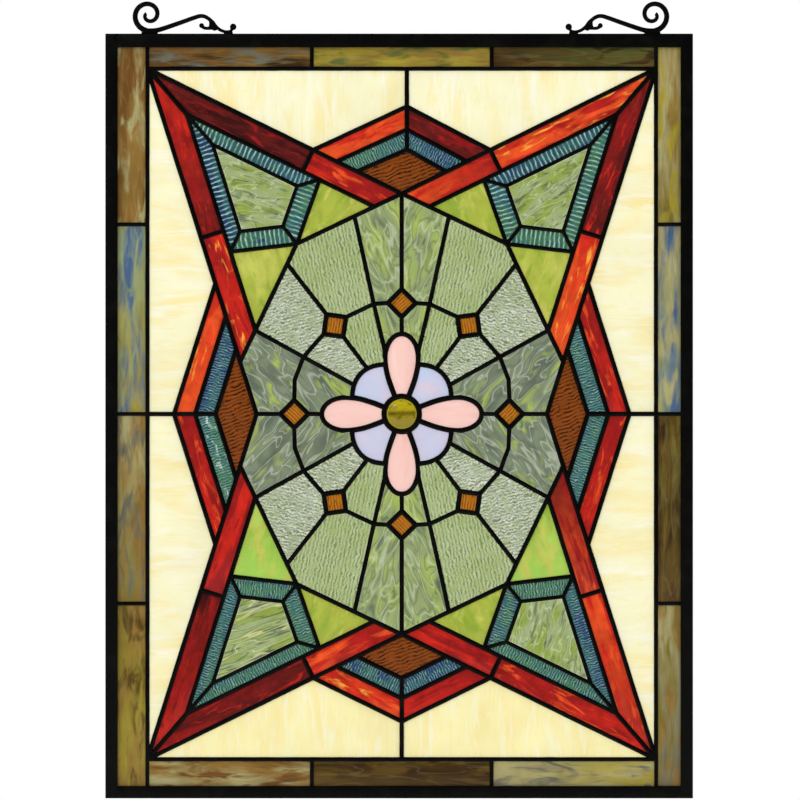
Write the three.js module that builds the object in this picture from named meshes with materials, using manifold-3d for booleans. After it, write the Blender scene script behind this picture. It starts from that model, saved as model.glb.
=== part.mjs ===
// A hanging stained glass panel: 135 pieces of coloured glass held by one soldered web of lead
// lines, in a frame of black metal channel with two scroll hangers on its top rail.
// Millimetres. X runs to the right, Z up, and the front of the panel faces -Y.
// The origin is on the top rail's upper face, at the middle of its length.
import * as THREE from "three";
import { mergeVertices } from "three/addons/utils/BufferGeometryUtils.js";
import Module from "manifold-3d";

const wasm = await Module();
wasm.setup();

// Frame of U-shaped channel
const panelWidth = 457.2;
const panelHeight = 595;
const channelFace = 9.5;
const topRailFace = 10.6;
const channelDepth = 9;
const slotDepth = 6.5;
const glassInSlot = 5;

// Border strips: from the channel's lip to the middle of the field's outer lead line
const borderLeft = 23;
const borderRight = 19;
const borderTop = 16.4;
const borderBottom = 20.6;
const sideStripLength = 147.6;
const middleStripLength = 140;

// Glass, and the web of lead lines that holds it
const glassThickness = 3;
const webDepth = 5.6;
const coreThickness = 1.6;
const borderLine = 3;
const patternLine = 3.5;
const kiteLine = 3;
const flowerLine = 4.2;
const fitGap = 0.3;

// Star: four pairs of red arms that run from the field's corners to the rosette
const armWidth = 18.6;
const sideJointHeight = 137;

// Chevrons and diamonds, measured along the middle lines of the panel. Above the rosette their
// seam stands a little to the right of the middle line
const topDiamondHeight = 34.3;
const topBlueDepth = 15.6;
const topRedDepth = 17.9;
const topSeamShift = 4;
const sideDiamondWidth = 32;
const sideBlueDepth = 16;
const sideRedDepth = 16.4;

// Rosette outline: its top, side and shoulder as shares of half the field, and its hip
const rosetteRise = 0.638;
const rosetteReach = 0.57;
const shoulderReach = 0.4126;
const shoulderRise = 0.4928;
const hipHeight = 40.5;

// Corner kites: where they touch the star's inner lines, and the strips around them
const kiteAlongTop = 0.707;
const kiteAlongSide = 0.635;
const outerStripWidth = 12.1;
const innerStripWidth = 14.8;

// Rosette: spokes across a ring of small squares. Spokes start at shares of the outline's sides,
// and the ring's outline bends where they cross it, a little outside its own radius
const ringRadius = 86.3;
const crossingRise = 2.1;
const ringSideRise = 1.1;
const sideSquareDrop = 2.6;
const squareSide = 15.8;
const squareAngle = 52.9;
const squareTilt = 8;
const topSpokeStart = 0.45;
const topSpokeAngle = 75.8;
const topSpokeEnd = [13.4, 49.9];
const middleSpokeStart = 0.17;
const middleSpokeEnd = [27, 35.6];
const sideSpokeAngle = 30.1;
const sideSpokeEnd = [36.3, 22];
const ringSideAngle = 17.7;

// Flower: a jewel, four petals and the lavender quarters between them, which swell out between
// the petals. Pulls and shoulders are shares, along and across, that bend a petal's side and the
// jewel's dome
const lavenderRadius = 41.8;
const lavenderSwell = 3.2;
const jewelRadius = 13.8;
const jewelDome = 6;
const petalTipGap = 12.6;
const petalWidth = 26;
const petalRootWidth = 10;
const petalWidestAt = 0.62;
const petalRootPull = [0.45, 0.5];
const petalFlankPull = 0.4;
const petalTipPull = [0.55, 0.5];
const domeShoulder = [0.95, 0.75];
const domeCrown = 0.5;
const roundCount = 16;
const petalStepCount = 3;
const domeStepCount = 4;

// Hangers: a spiral scroll on a foot, and an arm that runs inwards to a smaller foot
const leftHangerInset = 34.1;
const rightHangerInset = 31.3;
const hangerThickness = 4.6;
const scrollOffset = -0.6;
const scrollHeight = 14.9;
const scrollRadius = 10.5;
const scrollPitch = 7.7;
const scrollWire = 4.6;
const scrollTipWire = 3;
const scrollStartAngle = 262;
const scrollTurnAngle = 475;
const scrollStepCount = 17;
const armSpan = 61.5;
const armRise = 14.1;
const armWire = 4.2;
const armTipWire = 2.2;
const armStepCount = 12;
const curlWire = 2.8;
const curlStepCount = 4;
const curlBall = 2;
const armBall = 2.6;
const leafThickness = 3;
const footWidth = 13;
const footHeight = 4.4;
const innerFootWidth = 7.4;
const innerFootHeight = 2.6;
const footTopShare = 0.8;
const wireCornerCount = 6;
const ballRingCount = 5;

// The field lies between the middles of its outer lead lines. Its middle is the drawing's zero
const halfX = (panelWidth - 2 * channelFace - borderLeft - borderRight) / 2;
const halfY = (panelHeight - topRailFace - channelFace - borderTop - borderBottom) / 2;
const lip = {
  left: -halfX - borderLeft,
  right: halfX + borderRight,
  top: halfY + borderTop,
  bottom: -halfY - borderBottom,
};
const seatDepth = glassThickness + 2 * fitGap;
const frontHalf = [0, webDepth];
const backHalf = [-webDepth, 0];
const everyDepth = centred(4 * webDepth);
const pastEnd = 1;

// Solids, drawn in the panel's plane: X to the right, Y up, Z towards the viewer

function solidOf(geometry) {
  geometry.deleteAttribute("normal");
  geometry.deleteAttribute("uv");
  const merged = mergeVertices(geometry);
  return new wasm.Manifold(new wasm.Mesh({
    numProp: 3,
    vertProperties: merged.attributes.position.array,
    triVerts: new Uint32Array(merged.index.array),
  }));
}

// A depth is a pair: how far back and how far forward a solid reaches from the panel's middle
function centred(depth) {
  return [-depth / 2, depth / 2];
}

function prism(corners, [back, front]) {
  const shape = new THREE.Shape(corners.map(([x, y]) => new THREE.Vector2(x, y)));
  const geometry = new THREE.ExtrudeGeometry(shape, { depth: front - back, bevelEnabled: false });
  return solidOf(geometry.translate(0, 0, back));
}

function bar(left, bottom, right, top, depth) {
  return prism([[left, bottom], [right, bottom], [right, top], [left, top]], depth);
}

// Outlines are lists of corners that run anticlockwise

function meet([a, b], [c, d]) {
  const u = [b[0] - a[0], b[1] - a[1]];
  const v = [d[0] - c[0], d[1] - c[1]];
  const t = ((c[0] - a[0]) * v[1] - (c[1] - a[1]) * v[0]) / (u[0] * v[1] - u[1] * v[0]);
  return [a[0] + t * u[0], a[1] + t * u[1]];
}

function between(a, b, share) {
  return [a[0] + (b[0] - a[0]) * share, a[1] + (b[1] - a[1]) * share];
}

function polar(radius, degrees) {
  const angle = THREE.MathUtils.degToRad(degrees);
  return [radius * Math.cos(angle), radius * Math.sin(angle)];
}

// The line from a to b, moved to its left
function shifted(a, b, distance) {
  const length = Math.hypot(b[0] - a[0], b[1] - a[1]);
  const x = (-(b[1] - a[1]) / length) * distance;
  const y = ((b[0] - a[0]) / length) * distance;
  return [[a[0] + x, a[1] + y], [b[0] + x, b[1] + y]];
}

// Moves the sides of an outline inwards by one distance, or by one for each side
function inset(corners, distances) {
  const count = corners.length;
  const distance = (k) => (Array.isArray(distances) ? distances[k] : distances);
  return corners.map((corner, k) => {
    const last = (k + count - 1) % count;
    const next = (k + 1) % count;
    return meet(
      shifted(corners[last], corner, distance(last)),
      shifted(corner, corners[next], distance(k)),
    );
  });
}

const across = ([x, y]) => [-x, y];
const down = ([x, y]) => [x, -y];

function mirrored(corners, sideX, sideY) {
  const moved = corners.map(([x, y]) => [x * sideX, y * sideY]);
  return sideX * sideY < 0 ? moved.reverse() : moved;
}

const quarters = [
  ["upper_right", 1, 1],
  ["upper_left", -1, 1],
  ["lower_left", -1, -1],
  ["lower_right", 1, -1],
];

// A full outline from a quarter of it that runs from the right-hand axis to the upper one
function allRound(quarter) {
  return quarters.flatMap(([, sideX, sideY]) => mirrored(quarter, sideX, sideY).slice(0, -1));
}

function circle(radius, swell = 0) {
  return Array.from({ length: roundCount }, (_, k) => {
    const degrees = (k * 360) / roundCount;
    const outwards = -Math.cos(THREE.MathUtils.degToRad(4 * degrees));
    return polar(radius + swell * outwards, degrees);
  });
}

// Star junctions in the upper right quarter, at the middles of the lead lines
const tip = [halfX, halfY];
const rosetteTop = [0, halfY * rosetteRise];
const rosetteSide = [halfX * rosetteReach, 0];
const shoulder = [halfX * shoulderReach, halfY * shoulderRise];
const topLine = [tip, rosetteTop];
const sideLine = [tip, rosetteSide];
const topInnerLine = shifted(tip, rosetteTop, armWidth);
const sideInnerLine = shifted(tip, rosetteSide, -armWidth);
const hip = meet(sideLine, [[0, hipHeight], [halfX, hipHeight]]);
const armCorner = meet(topInnerLine, sideInnerLine);
const topArmEnd = meet(topInnerLine, [rosetteTop, shoulder]);
const sideArmEnd = meet(sideInnerLine, [shoulder, hip]);

// Chevrons: each line runs from its apex, at the star's own slope, back to the star
const topDiamondApex = [0, rosetteTop[1] + topDiamondHeight];
const topBlueApex = [0, topDiamondApex[1] + topBlueDepth];
const topRedApex = [0, topBlueApex[1] + topRedDepth];
const sideDiamondApex = [rosetteSide[0] + sideDiamondWidth, 0];
const sideBlueApex = [sideDiamondApex[0] + sideBlueDepth, 0];
const sideRedApex = [sideBlueApex[0] + sideRedDepth, 0];

function topEnd(apex) {
  return meet([apex, [tip[0], apex[1] - (tip[1] - rosetteTop[1])]], topLine);
}

function sideEnd(apex) {
  return meet([apex, [apex[0] - (tip[0] - rosetteSide[0]), tip[1]]], sideLine);
}

const topDiamondEnd = topEnd(topDiamondApex);
const topBlueEnd = topEnd(topBlueApex);
const topValley = topEnd(topRedApex);
const sideDiamondEnd = sideEnd(sideDiamondApex);
const sideBlueEnd = sideEnd(sideBlueApex);
const sideValley = sideEnd(sideRedApex);

// Joints straight across the red arms
function jointAt(outer, [a, b], innerLine) {
  return [outer, meet([outer, [outer[0] - (b[1] - a[1]), outer[1] + (b[0] - a[0])]], innerLine)];
}

const sideJointOuter = meet(sideLine, [[0, sideJointHeight], [halfX, sideJointHeight]]);
const topJoint = jointAt(topValley, topLine, topInnerLine);
const sideJoint = jointAt(sideJointOuter, sideLine, sideInnerLine);

// Corner kite, and the quadrilateral left in it by its four strips
const kiteTop = between(armCorner, topArmEnd, kiteAlongTop);
const kiteSide = between(armCorner, sideArmEnd, kiteAlongSide);
const kite = [armCorner, kiteTop, shoulder, kiteSide];
const kiteMiddle = inset(kite, [outerStripWidth, innerStripWidth, innerStripWidth, outerStripWidth]);

// Small squares: those on the axes stand on a corner, and those at the corners lean a little
function squareAt(middle, turn) {
  return [0, 90, 180, 270].map((degrees) => {
    const [x, y] = polar(squareSide / Math.SQRT2, turn + degrees);
    return [middle[0] + x, middle[1] + y];
  });
}

const cornerSquare = squareAt(polar(ringRadius, squareAngle), 45 + squareTilt);
const topSquare = squareAt([0, ringRadius], 0);
const sideSquare = squareAt([ringRadius - sideSquareDrop, 0], 0);
const [squareOut, squareTopIn, squareIn, squareSideIn] = cornerSquare;
const [topSquareRight, topSquareOut, , topSquareIn] = topSquare;
const [sideSquareOut, sideSquareUp, sideSquareIn] = sideSquare;

// Spokes, from the rosette's outline to the ring and on to the flower
const topSpokeOuter = between(rosetteTop, shoulder, topSpokeStart);
const middleSpokeOuter = between(shoulder, hip, middleSpokeStart);
const topCrossing = polar(ringRadius + crossingRise, topSpokeAngle);
const sideCrossing = polar(ringRadius + crossingRise, sideSpokeAngle);
const ringSide = polar(ringRadius + ringSideRise, ringSideAngle);
const heart = [0, 0];
const rosette = allRound([rosetteSide, hip, shoulder, rosetteTop]);
const ring = allRound([
  sideSquareIn,
  sideSquareUp,
  ringSide,
  sideCrossing,
  squareSideIn,
  squareIn,
  squareTopIn,
  topCrossing,
  topSquareRight,
  topSquareIn,
]);

// The petal that points to the right: narrow at the jewel, widest near its round tip, which
// ends a little short of the small square beyond it
function petalOutline() {
  const end = topSquareIn[1] - petalTipGap;
  const widest = THREE.MathUtils.lerp(jewelRadius, end, petalWidestAt);
  const rootHalf = petalRootWidth / 2;
  const half = petalWidth / 2;
  const flank = widest - jewelRadius;
  const [rootAlong, rootAcross] = petalRootPull;
  const [tipAlong, tipAcross] = petalTipPull;
  const path = new THREE.Path();
  path.moveTo(jewelRadius, -rootHalf);
  path.bezierCurveTo(
    jewelRadius + flank * rootAlong, -rootHalf - (half - rootHalf) * rootAcross,
    widest - flank * petalFlankPull, -half,
    widest, -half,
  );
  path.bezierCurveTo(widest + (end - widest) * tipAlong, -half, end, -half * tipAcross, end, 0);
  const lower = path.getPoints(petalStepCount).map((point) => [point.x, point.y]);
  return [...lower, ...lower.slice(0, -1).reverse().map(down)];
}

const rightPetal = petalOutline();
const petals = [
  ["right", rightPetal],
  ["top", rightPetal.map(([x, y]) => [-y, x])],
  ["left", rightPetal.map(([x, y]) => [-x, -y])],
  ["bottom", rightPetal.map(([x, y]) => [y, -x])],
];

// Takes the petals and the jewel, grown by a distance, out of a solid
function withoutPetals(solid, grow) {
  return petals
    .map(([, outline]) => prism(inset(outline, -grow), everyDepth))
    .reduce((left, petal) => left.subtract(petal), solid)
    .subtract(prism(circle(jewelRadius + grow), everyDepth));
}

function lavenderDisc(grow, depth) {
  return prism(circle(lavenderRadius + grow, lavenderSwell), depth);
}

function withoutFlower(solid, grow) {
  return withoutPetals(solid, grow).subtract(lavenderDisc(grow, everyDepth));
}

// Runs of glass: neighbouring pieces of one glass, fused where only a lead line parts them.
// Each run has the width of its lead lines, and gives its solid for a gap to their middles
const colors = {
  border: 0x7d7048,
  cream: 0xf3efc3,
  red: 0xa02c22,
  teal: 0x4f7d7d,
  amber: 0x6d3a10,
  clear: 0xa9b79a,
  green: 0xafc25c,
  pink: 0xfdcdc3,
  lavender: 0xbdc3db,
};
const runs = [];

function addRun(name, color, line, solid) {
  runs.push({ name, color, line, solid });
}

function addOutline(name, color, outline, line = patternLine) {
  addRun(name, color, line, (gap, depth) => prism(inset(outline, gap), depth));
}

// Half outlines of the runs that lie across an axis of the panel
const topRuns = [
  ["cream_glass", colors.cream, [topRedApex, topValley, tip]],
  ["red_chevron", colors.red, [topBlueApex, topBlueEnd, topValley, topRedApex]],
  ["blue_chevron", colors.teal, [topDiamondApex, topDiamondEnd, topBlueEnd, topBlueApex]],
  ["amber_diamond", colors.amber, [rosetteTop, topDiamondEnd, topDiamondApex]],
];
const sideRuns = [
  ["cream_glass", colors.cream, [tip, sideValley, sideRedApex]],
  ["red_chevron", colors.red, [sideRedApex, sideValley, sideBlueEnd, sideBlueApex]],
  ["blue_chevron", colors.teal, [sideBlueApex, sideBlueEnd, sideDiamondEnd, sideDiamondApex]],
  ["amber_diamond", colors.amber, [sideDiamondApex, sideDiamondEnd, rosetteSide]],
];

function whole(half, flip) {
  const offAxis = half.filter((corner) => flip(corner).some((value, k) => value !== corner[k]));
  return [...half, ...offAxis.reverse().map(flip)];
}

// Moves the seam above the rosette off the middle line
function seamed(corners) {
  return corners.map(([x, y]) => [x === 0 && y > rosetteTop[1] ? topSeamShift : x, y]);
}

for (const [name, color, half] of topRuns) {
  addOutline(`${name}_top`, color, seamed(whole(half, across)));
  addOutline(`${name}_bottom`, color, mirrored(whole(half, across), 1, -1));
}
for (const [name, color, half] of sideRuns) {
  addOutline(`${name}_right`, color, whole(half, down));
  addOutline(`${name}_left`, color, mirrored(whole(half, down), -1, 1));
}

const star = [tip, rosetteTop, topArmEnd, armCorner, sideArmEnd, hip];
for (const [place, sideX, sideY] of quarters) {
  const outer = mirrored(kite, sideX, sideY);
  const inner = mirrored(kiteMiddle, sideX, sideY);
  addOutline(`red_star_${place}`, colors.red, mirrored(star, sideX, sideY));
  addRun(`kite_strips_${place}`, colors.teal, kiteLine, (gap, depth) => (
    prism(inset(outer, gap), depth).subtract(prism(inset(inner, -gap), everyDepth))
  ));
  addOutline(`clear_kite_${place}`, colors.clear, inner, kiteLine);
  const high = [kiteTop, topArmEnd, shoulder];
  const low = [kiteSide, shoulder, sideArmEnd];
  addOutline(`green_triangle_high_${place}`, colors.green, mirrored(high, sideX, sideY));
  addOutline(`green_triangle_low_${place}`, colors.green, mirrored(low, sideX, sideY));
}

addRun("rosette_outer_ring", colors.clear, patternLine, (gap, depth) => (
  prism(inset(rosette, gap), depth).subtract(prism(inset(ring, -gap), everyDepth))
));
addRun("rosette_inner_ring", colors.clear, patternLine, (gap, depth) => (
  withoutFlower(prism(inset(ring, gap), depth), gap)
));
for (const [place, outline] of petals) {
  addOutline(`petal_${place}`, colors.pink, outline, flowerLine);
}
for (const [place, sideX, sideY] of quarters) {
  const corner = [lavenderRadius * sideX, lavenderRadius * sideY];
  const [left, right] = [0, corner[0]].sort((a, b) => a - b);
  const [low, high] = [0, corner[1]].sort((a, b) => a - b);
  addRun(`lavender_${place}`, colors.lavender, flowerLine, (gap, depth) => withoutPetals(
    lavenderDisc(-gap, depth).intersect(bar(left, low, right, high, everyDepth)),
    gap,
  ));
}

// Border runs reach past the lips, into the channels' slots
const rim = {
  left: lip.left - glassInSlot,
  right: lip.right + glassInSlot,
  top: lip.top + glassInSlot,
  bottom: lip.bottom - glassInSlot,
};
addRun("border_glass_left", colors.border, borderLine, (gap, depth) => (
  bar(rim.left, rim.bottom, -halfX - gap, rim.top, depth)
));
addRun("border_glass_right", colors.border, borderLine, (gap, depth) => (
  bar(halfX + gap, rim.bottom, rim.right, rim.top, depth)
));
addRun("border_glass_top", colors.border, borderLine, (gap, depth) => (
  bar(-halfX + gap, halfY + gap, halfX - gap, rim.top, depth)
));
addRun("border_glass_bottom", colors.border, borderLine, (gap, depth) => (
  bar(-halfX + gap, rim.bottom, halfX - gap, -halfY - gap, depth)
));

// Windows in the web's front: what shows of each single piece of glass between its lead lines
const quarterWindows = [
  [[[0, halfY], topRedApex, topValley, tip], patternLine],
  [[tip, sideValley, sideRedApex, [halfX, 0]], patternLine],
  ...topRuns.slice(1, 3).map(([, , half]) => [half, patternLine]),
  ...sideRuns.slice(1, 3).map(([, , half]) => [half, patternLine]),
  [[tip, topJoint[0], topJoint[1], armCorner], patternLine],
  [[topJoint[0], rosetteTop, topArmEnd, topJoint[1]], patternLine],
  [[tip, armCorner, sideJoint[1], sideJoint[0]], patternLine],
  [[sideJoint[1], sideArmEnd, hip, sideJoint[0]], patternLine],
  ...kite.map((corner, k) => {
    const next = (k + 1) % kite.length;
    return [[corner, kite[next], kiteMiddle[next], kiteMiddle[k]], kiteLine];
  }),
  [kiteMiddle, kiteLine],
  [[kiteTop, topArmEnd, shoulder], patternLine],
  [[kiteSide, shoulder, sideArmEnd], patternLine],
  [[rosetteTop, topSquareOut, topSquareRight, topCrossing, topSpokeOuter], patternLine],
  [[topSpokeOuter, topCrossing, squareTopIn, squareOut, middleSpokeOuter, shoulder], patternLine],
  [[middleSpokeOuter, squareOut, squareSideIn, sideCrossing, sideArmEnd], patternLine],
  [
    [sideArmEnd, sideCrossing, ringSide, sideSquareUp, sideSquareOut, rosetteSide, hip],
    patternLine,
  ],
  [cornerSquare, flowerLine],
];
const innerWindows = [
  [topSquareRight, topSquareIn, heart, topSpokeEnd, topCrossing],
  [topCrossing, topSpokeEnd, heart, middleSpokeEnd, squareIn, squareTopIn],
  [squareIn, middleSpokeEnd, heart, sideSpokeEnd, sideCrossing, squareSideIn],
  [sideCrossing, sideSpokeEnd, heart, sideSquareIn, sideSquareUp, ringSide],
];

function windowSolids() {
  const windows = [];
  for (const [, sideX, sideY] of quarters) {
    for (const [outline, line] of quarterWindows) {
      const corners = seamed(mirrored(outline, sideX, sideY));
      windows.push(prism(inset(corners, line / 2), frontHalf));
    }
    for (const outline of innerWindows) {
      const cell = prism(inset(mirrored(outline, sideX, sideY), patternLine / 2), frontHalf);
      windows.push(withoutFlower(cell, flowerLine / 2));
    }
  }
  const axisOutlines = [
    [whole(topRuns[3][2], across), patternLine],
    [whole(sideRuns[3][2], down), patternLine],
    [topSquare, flowerLine],
    [sideSquare, flowerLine],
  ];
  for (const [outline, line] of axisOutlines) {
    for (const corners of [outline, outline.map(([x, y]) => [-x, -y])]) {
      windows.push(prism(inset(seamed(corners), line / 2), frontHalf));
    }
  }
  for (const [, outline] of petals) {
    windows.push(prism(inset(outline, flowerLine / 2), frontHalf));
  }
  const lavender = lavenderDisc(-flowerLine / 2, frontHalf);
  return [...windows, withoutPetals(lavender, flowerLine / 2), ...borderWindows()];
}

// The border's windows run out to the channels, which cover the strips' outer edges
function borderWindows() {
  const half = borderLine / 2;
  const beyond = 2 * slotDepth;
  const rows = [lip.bottom - beyond, -sideStripLength, 0, sideStripLength, lip.top + beyond];
  const columns = [-halfX, -middleStripLength / 2, middleStripLength / 2, halfX];
  const sides = rows.slice(1).flatMap((high, k) => [
    bar(lip.left - beyond, rows[k] + half, -halfX - half, high - half, frontHalf),
    bar(halfX + half, rows[k] + half, lip.right + beyond, high - half, frontHalf),
  ]);
  const ends = columns.slice(1).flatMap((right, k) => [
    bar(columns[k] + half, halfY + half, right - half, lip.top + beyond, frontHalf),
    bar(columns[k] + half, lip.bottom - beyond, right - half, -halfY - half, frontHalf),
  ]);
  return [...sides, ...ends];
}

// The web of lead lines: thin cores between the runs, and wider faces over the glass edges.
// Its back face follows the runs alone
function leadWeb() {
  const sheet = bar(
    lip.left + fitGap, lip.bottom + fitGap, lip.right - fitGap, lip.top - fitGap, centred(webDepth),
  );
  const halfCore = coreThickness / 2;
  const cuts = [
    ...windowSolids(),
    ...runs.map(({ solid, line }) => solid(line / 2, backHalf)),
    ...runs.map(({ solid }) => solid(halfCore, centred(seatDepth))),
    prism(circle(jewelRadius - flowerLine / 2), everyDepth),
    prism(circle(jewelRadius - halfCore), centred(seatDepth)),
  ];
  return cuts.reduce((web, cut) => web.subtract(cut), sheet);
}

// The jewel is flat behind and domed in front, where it comes out through its window
function jewel() {
  const girdle = jewelRadius - coreThickness / 2 - fitGap;
  const dome = jewelRadius - flowerLine / 2 - fitGap;
  const back = -glassThickness / 2;
  const [shoulderOut, shoulderUp] = domeShoulder;
  const profile = new THREE.Path();
  profile.moveTo(0, back);
  profile.lineTo(girdle, back);
  profile.lineTo(girdle, -back);
  profile.lineTo(dome, -back);
  profile.bezierCurveTo(
    dome * shoulderOut, jewelDome * shoulderUp,
    dome * domeCrown, jewelDome,
    0, jewelDome,
  );
  const points = profile.getPoints(domeStepCount);
  return solidOf(new THREE.LatheGeometry(points, roundCount).rotateX(Math.PI / 2));
}

// Frame: the stiles run the full height, and the rails stand between them
function stile(left, slotLeft) {
  const low = lip.bottom - channelFace;
  const high = lip.top + topRailFace;
  const slotWidth = slotDepth + channelFace;
  return bar(left, low, left + channelFace, high, centred(channelDepth)).subtract(
    bar(slotLeft, low - pastEnd, slotLeft + slotWidth, high + pastEnd, centred(seatDepth)),
  );
}

function rail(low, high, slotLow, slotHigh) {
  const [left, right] = [lip.left + fitGap, lip.right - fitGap];
  return bar(left, low, right, high, centred(channelDepth)).subtract(
    bar(left - pastEnd, slotLow, right + pastEnd, slotHigh, centred(seatDepth)),
  );
}

// A round wire along points in the panel's plane, with a radius at each point
function wire(points, radii) {
  const count = points.length;
  const positions = [];
  points.forEach(([x, y], k) => {
    const [x0, y0] = points[Math.max(k - 1, 0)];
    const [x1, y1] = points[Math.min(k + 1, count - 1)];
    const length = Math.hypot(x1 - x0, y1 - y0);
    for (let side = 0; side < wireCornerCount; side += 1) {
      const [out, up] = polar(radii[k], (side * 360) / wireCornerCount);
      positions.push(x - (out * (y1 - y0)) / length, y + (out * (x1 - x0)) / length, up);
    }
  });
  const index = [];
  for (let k = 0; k + 1 < count; k += 1) {
    for (let side = 0; side < wireCornerCount; side += 1) {
      const a = k * wireCornerCount + side;
      const b = k * wireCornerCount + ((side + 1) % wireCornerCount);
      index.push(a, b, b + wireCornerCount, a, b + wireCornerCount, a + wireCornerCount);
    }
  }
  const last = (count - 1) * wireCornerCount;
  for (let side = 1; side + 1 < wireCornerCount; side += 1) {
    index.push(0, side + 1, side, last, last + side, last + side + 1);
  }
  return new wasm.Manifold(new wasm.Mesh({
    numProp: 3,
    vertProperties: new Float32Array(positions),
    triVerts: new Uint32Array(index),
  }));
}

function ball([x, y], radius) {
  const sphere = new THREE.SphereGeometry(radius, wireCornerCount, ballRingCount);
  return solidOf(sphere.translate(x, y, 0));
}

// A smooth line through points
function smooth(points, steps) {
  const curve = new THREE.SplineCurve(points.map(([x, y]) => new THREE.Vector2(x, y)));
  return curve.getPoints(steps).map((point) => [point.x, point.y]);
}

// A hanger for the left end of the rail, drawn from the middle of its outer foot, or its mirror.
// Its arm, curl and leaf are drawn in shares of the arm's span and rise
function hanger(side) {
  const place = ([x, y]) => [x * armSpan * side, y * armRise];
  const shares = Array.from({ length: scrollStepCount + 1 }, (_, k) => k / scrollStepCount);
  const scroll = shares.map((share) => {
    const degrees = scrollStartAngle - scrollTurnAngle * share;
    const [x, y] = polar(scrollRadius + (scrollPitch * (degrees - 180)) / 360, degrees);
    return [(scrollOffset + x) * side, scrollHeight + y];
  });
  const taper = (count, root, end) => (
    Array.from({ length: count }, (_, k) => THREE.MathUtils.lerp(root, end, k / (count - 1)) / 2)
  );
  const scrollTaper = taper(scroll.length, scrollWire, scrollTipWire);
  const armPoints = [
    [0.05, 0.19], [0.14, 0.26], [0.39, 0.63], [0.57, 0.91], [0.65, 1], [0.72, 0.93],
    [0.8, 0.66], [0.84, 0.43], [0.9, 0.22], [0.97, 0.13], [1.03, 0.18], [1.06, 0.4],
  ].map(place);
  const curlPoints = [[0.8, 0.33], [0.72, 0.32], [0.68, 0.37], [0.66, 0.47]].map(place);
  const leafPoints = [
    [0.73, 0.88], [0.785, 0.74], [0.835, 0.46], [0.875, 0.27], [0.82, 0.17], [0.79, 0.25],
    [0.745, 0.31], [0.755, 0.51], [0.755, 0.69],
  ].map(place);
  const arm = smooth(armPoints, armStepCount);
  const curl = smooth(curlPoints, curlStepCount);
  const foot = (middle, width, height) => {
    const shape = [[-1, 0], [1, 0], [footTopShare, 1], [-footTopShare, 1]]
      .map(([x, y]) => [(middle + (x * width) / 2) * side, fitGap + y * height]);
    return prism(shape, centred(hangerThickness));
  };
  return [
    wire(arm, taper(arm.length, armWire, armTipWire)),
    wire(curl, taper(curl.length, curlWire, curlWire)),
    ball(armPoints.at(-1), armBall),
    ball(curlPoints.at(-1), curlBall),
    prism(leafPoints, centred(leafThickness)),
    foot(0, footWidth, footHeight),
    foot(armSpan, innerFootWidth, innerFootHeight),
  ].reduce((all, piece) => all.add(piece), wire(scroll, scrollTaper));
}

// The panel: everything above is drawn flat, and the group stands it up
const panel = new THREE.Group();
panel.rotation.x = Math.PI / 2;
panel.position.set(-(lip.left + lip.right) / 2, 0, -(lip.top + topRailFace));

function addMesh(name, solid, finish) {
  const { vertProperties, triVerts } = solid.getMesh();
  const geometry = new THREE.BufferGeometry();
  geometry.setAttribute("position", new THREE.BufferAttribute(vertProperties, 3));
  geometry.setIndex(new THREE.BufferAttribute(triVerts, 1));
  geometry.computeVertexNormals();
  const material = new THREE.MeshStandardMaterial({ flatShading: true, ...finish });
  const mesh = new THREE.Mesh(geometry, material);
  mesh.name = name;
  panel.add(mesh);
  return mesh;
}

const blackMetal = { color: 0x0f100e, roughness: 0.5, metalness: 0.6 };
const solder = { color: 0x12130f, roughness: 0.4, metalness: 0.7 };

addMesh("frame_left_stile", stile(lip.left - channelFace, lip.left - slotDepth), blackMetal);
addMesh("frame_right_stile", stile(lip.right, lip.right - channelFace), blackMetal);
const topRail = rail(
  lip.top, lip.top + topRailFace, lip.top - channelFace, lip.top + slotDepth,
);
const bottomRail = rail(
  lip.bottom - channelFace, lip.bottom, lip.bottom - slotDepth, lip.bottom + channelFace,
);
addMesh("frame_top_rail", topRail, blackMetal);
addMesh("frame_bottom_rail", bottomRail, blackMetal);
const hangerPlaces = [
  ["left", 1, lip.left - channelFace + leftHangerInset],
  ["right", -1, lip.right + channelFace - rightHangerInset],
];
for (const [name, side, middle] of hangerPlaces) {
  const mesh = addMesh(`hanger_${name}`, hanger(side), blackMetal);
  mesh.position.set(middle, lip.top + topRailFace, 0);
}
addMesh("lead_web", leadWeb(), solder);
for (const { name, color, solid } of runs) {
  const glass = solid(coreThickness / 2 + fitGap, centred(glassThickness));
  addMesh(name, glass, { color, roughness: 0.25, metalness: 0 });
}
addMesh("jewel", jewel(), { color: 0xa5960a, roughness: 0.1, metalness: 0 });

const model = new THREE.Group();
model.add(panel);

export default model;
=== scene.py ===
# A hanging stained glass panel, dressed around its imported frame.
import math
from itertools import accumulate

import bmesh
import bpy
from bmesh.types import BMEdge, BMVert
from mathutils import Matrix, Vector, noise


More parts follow.
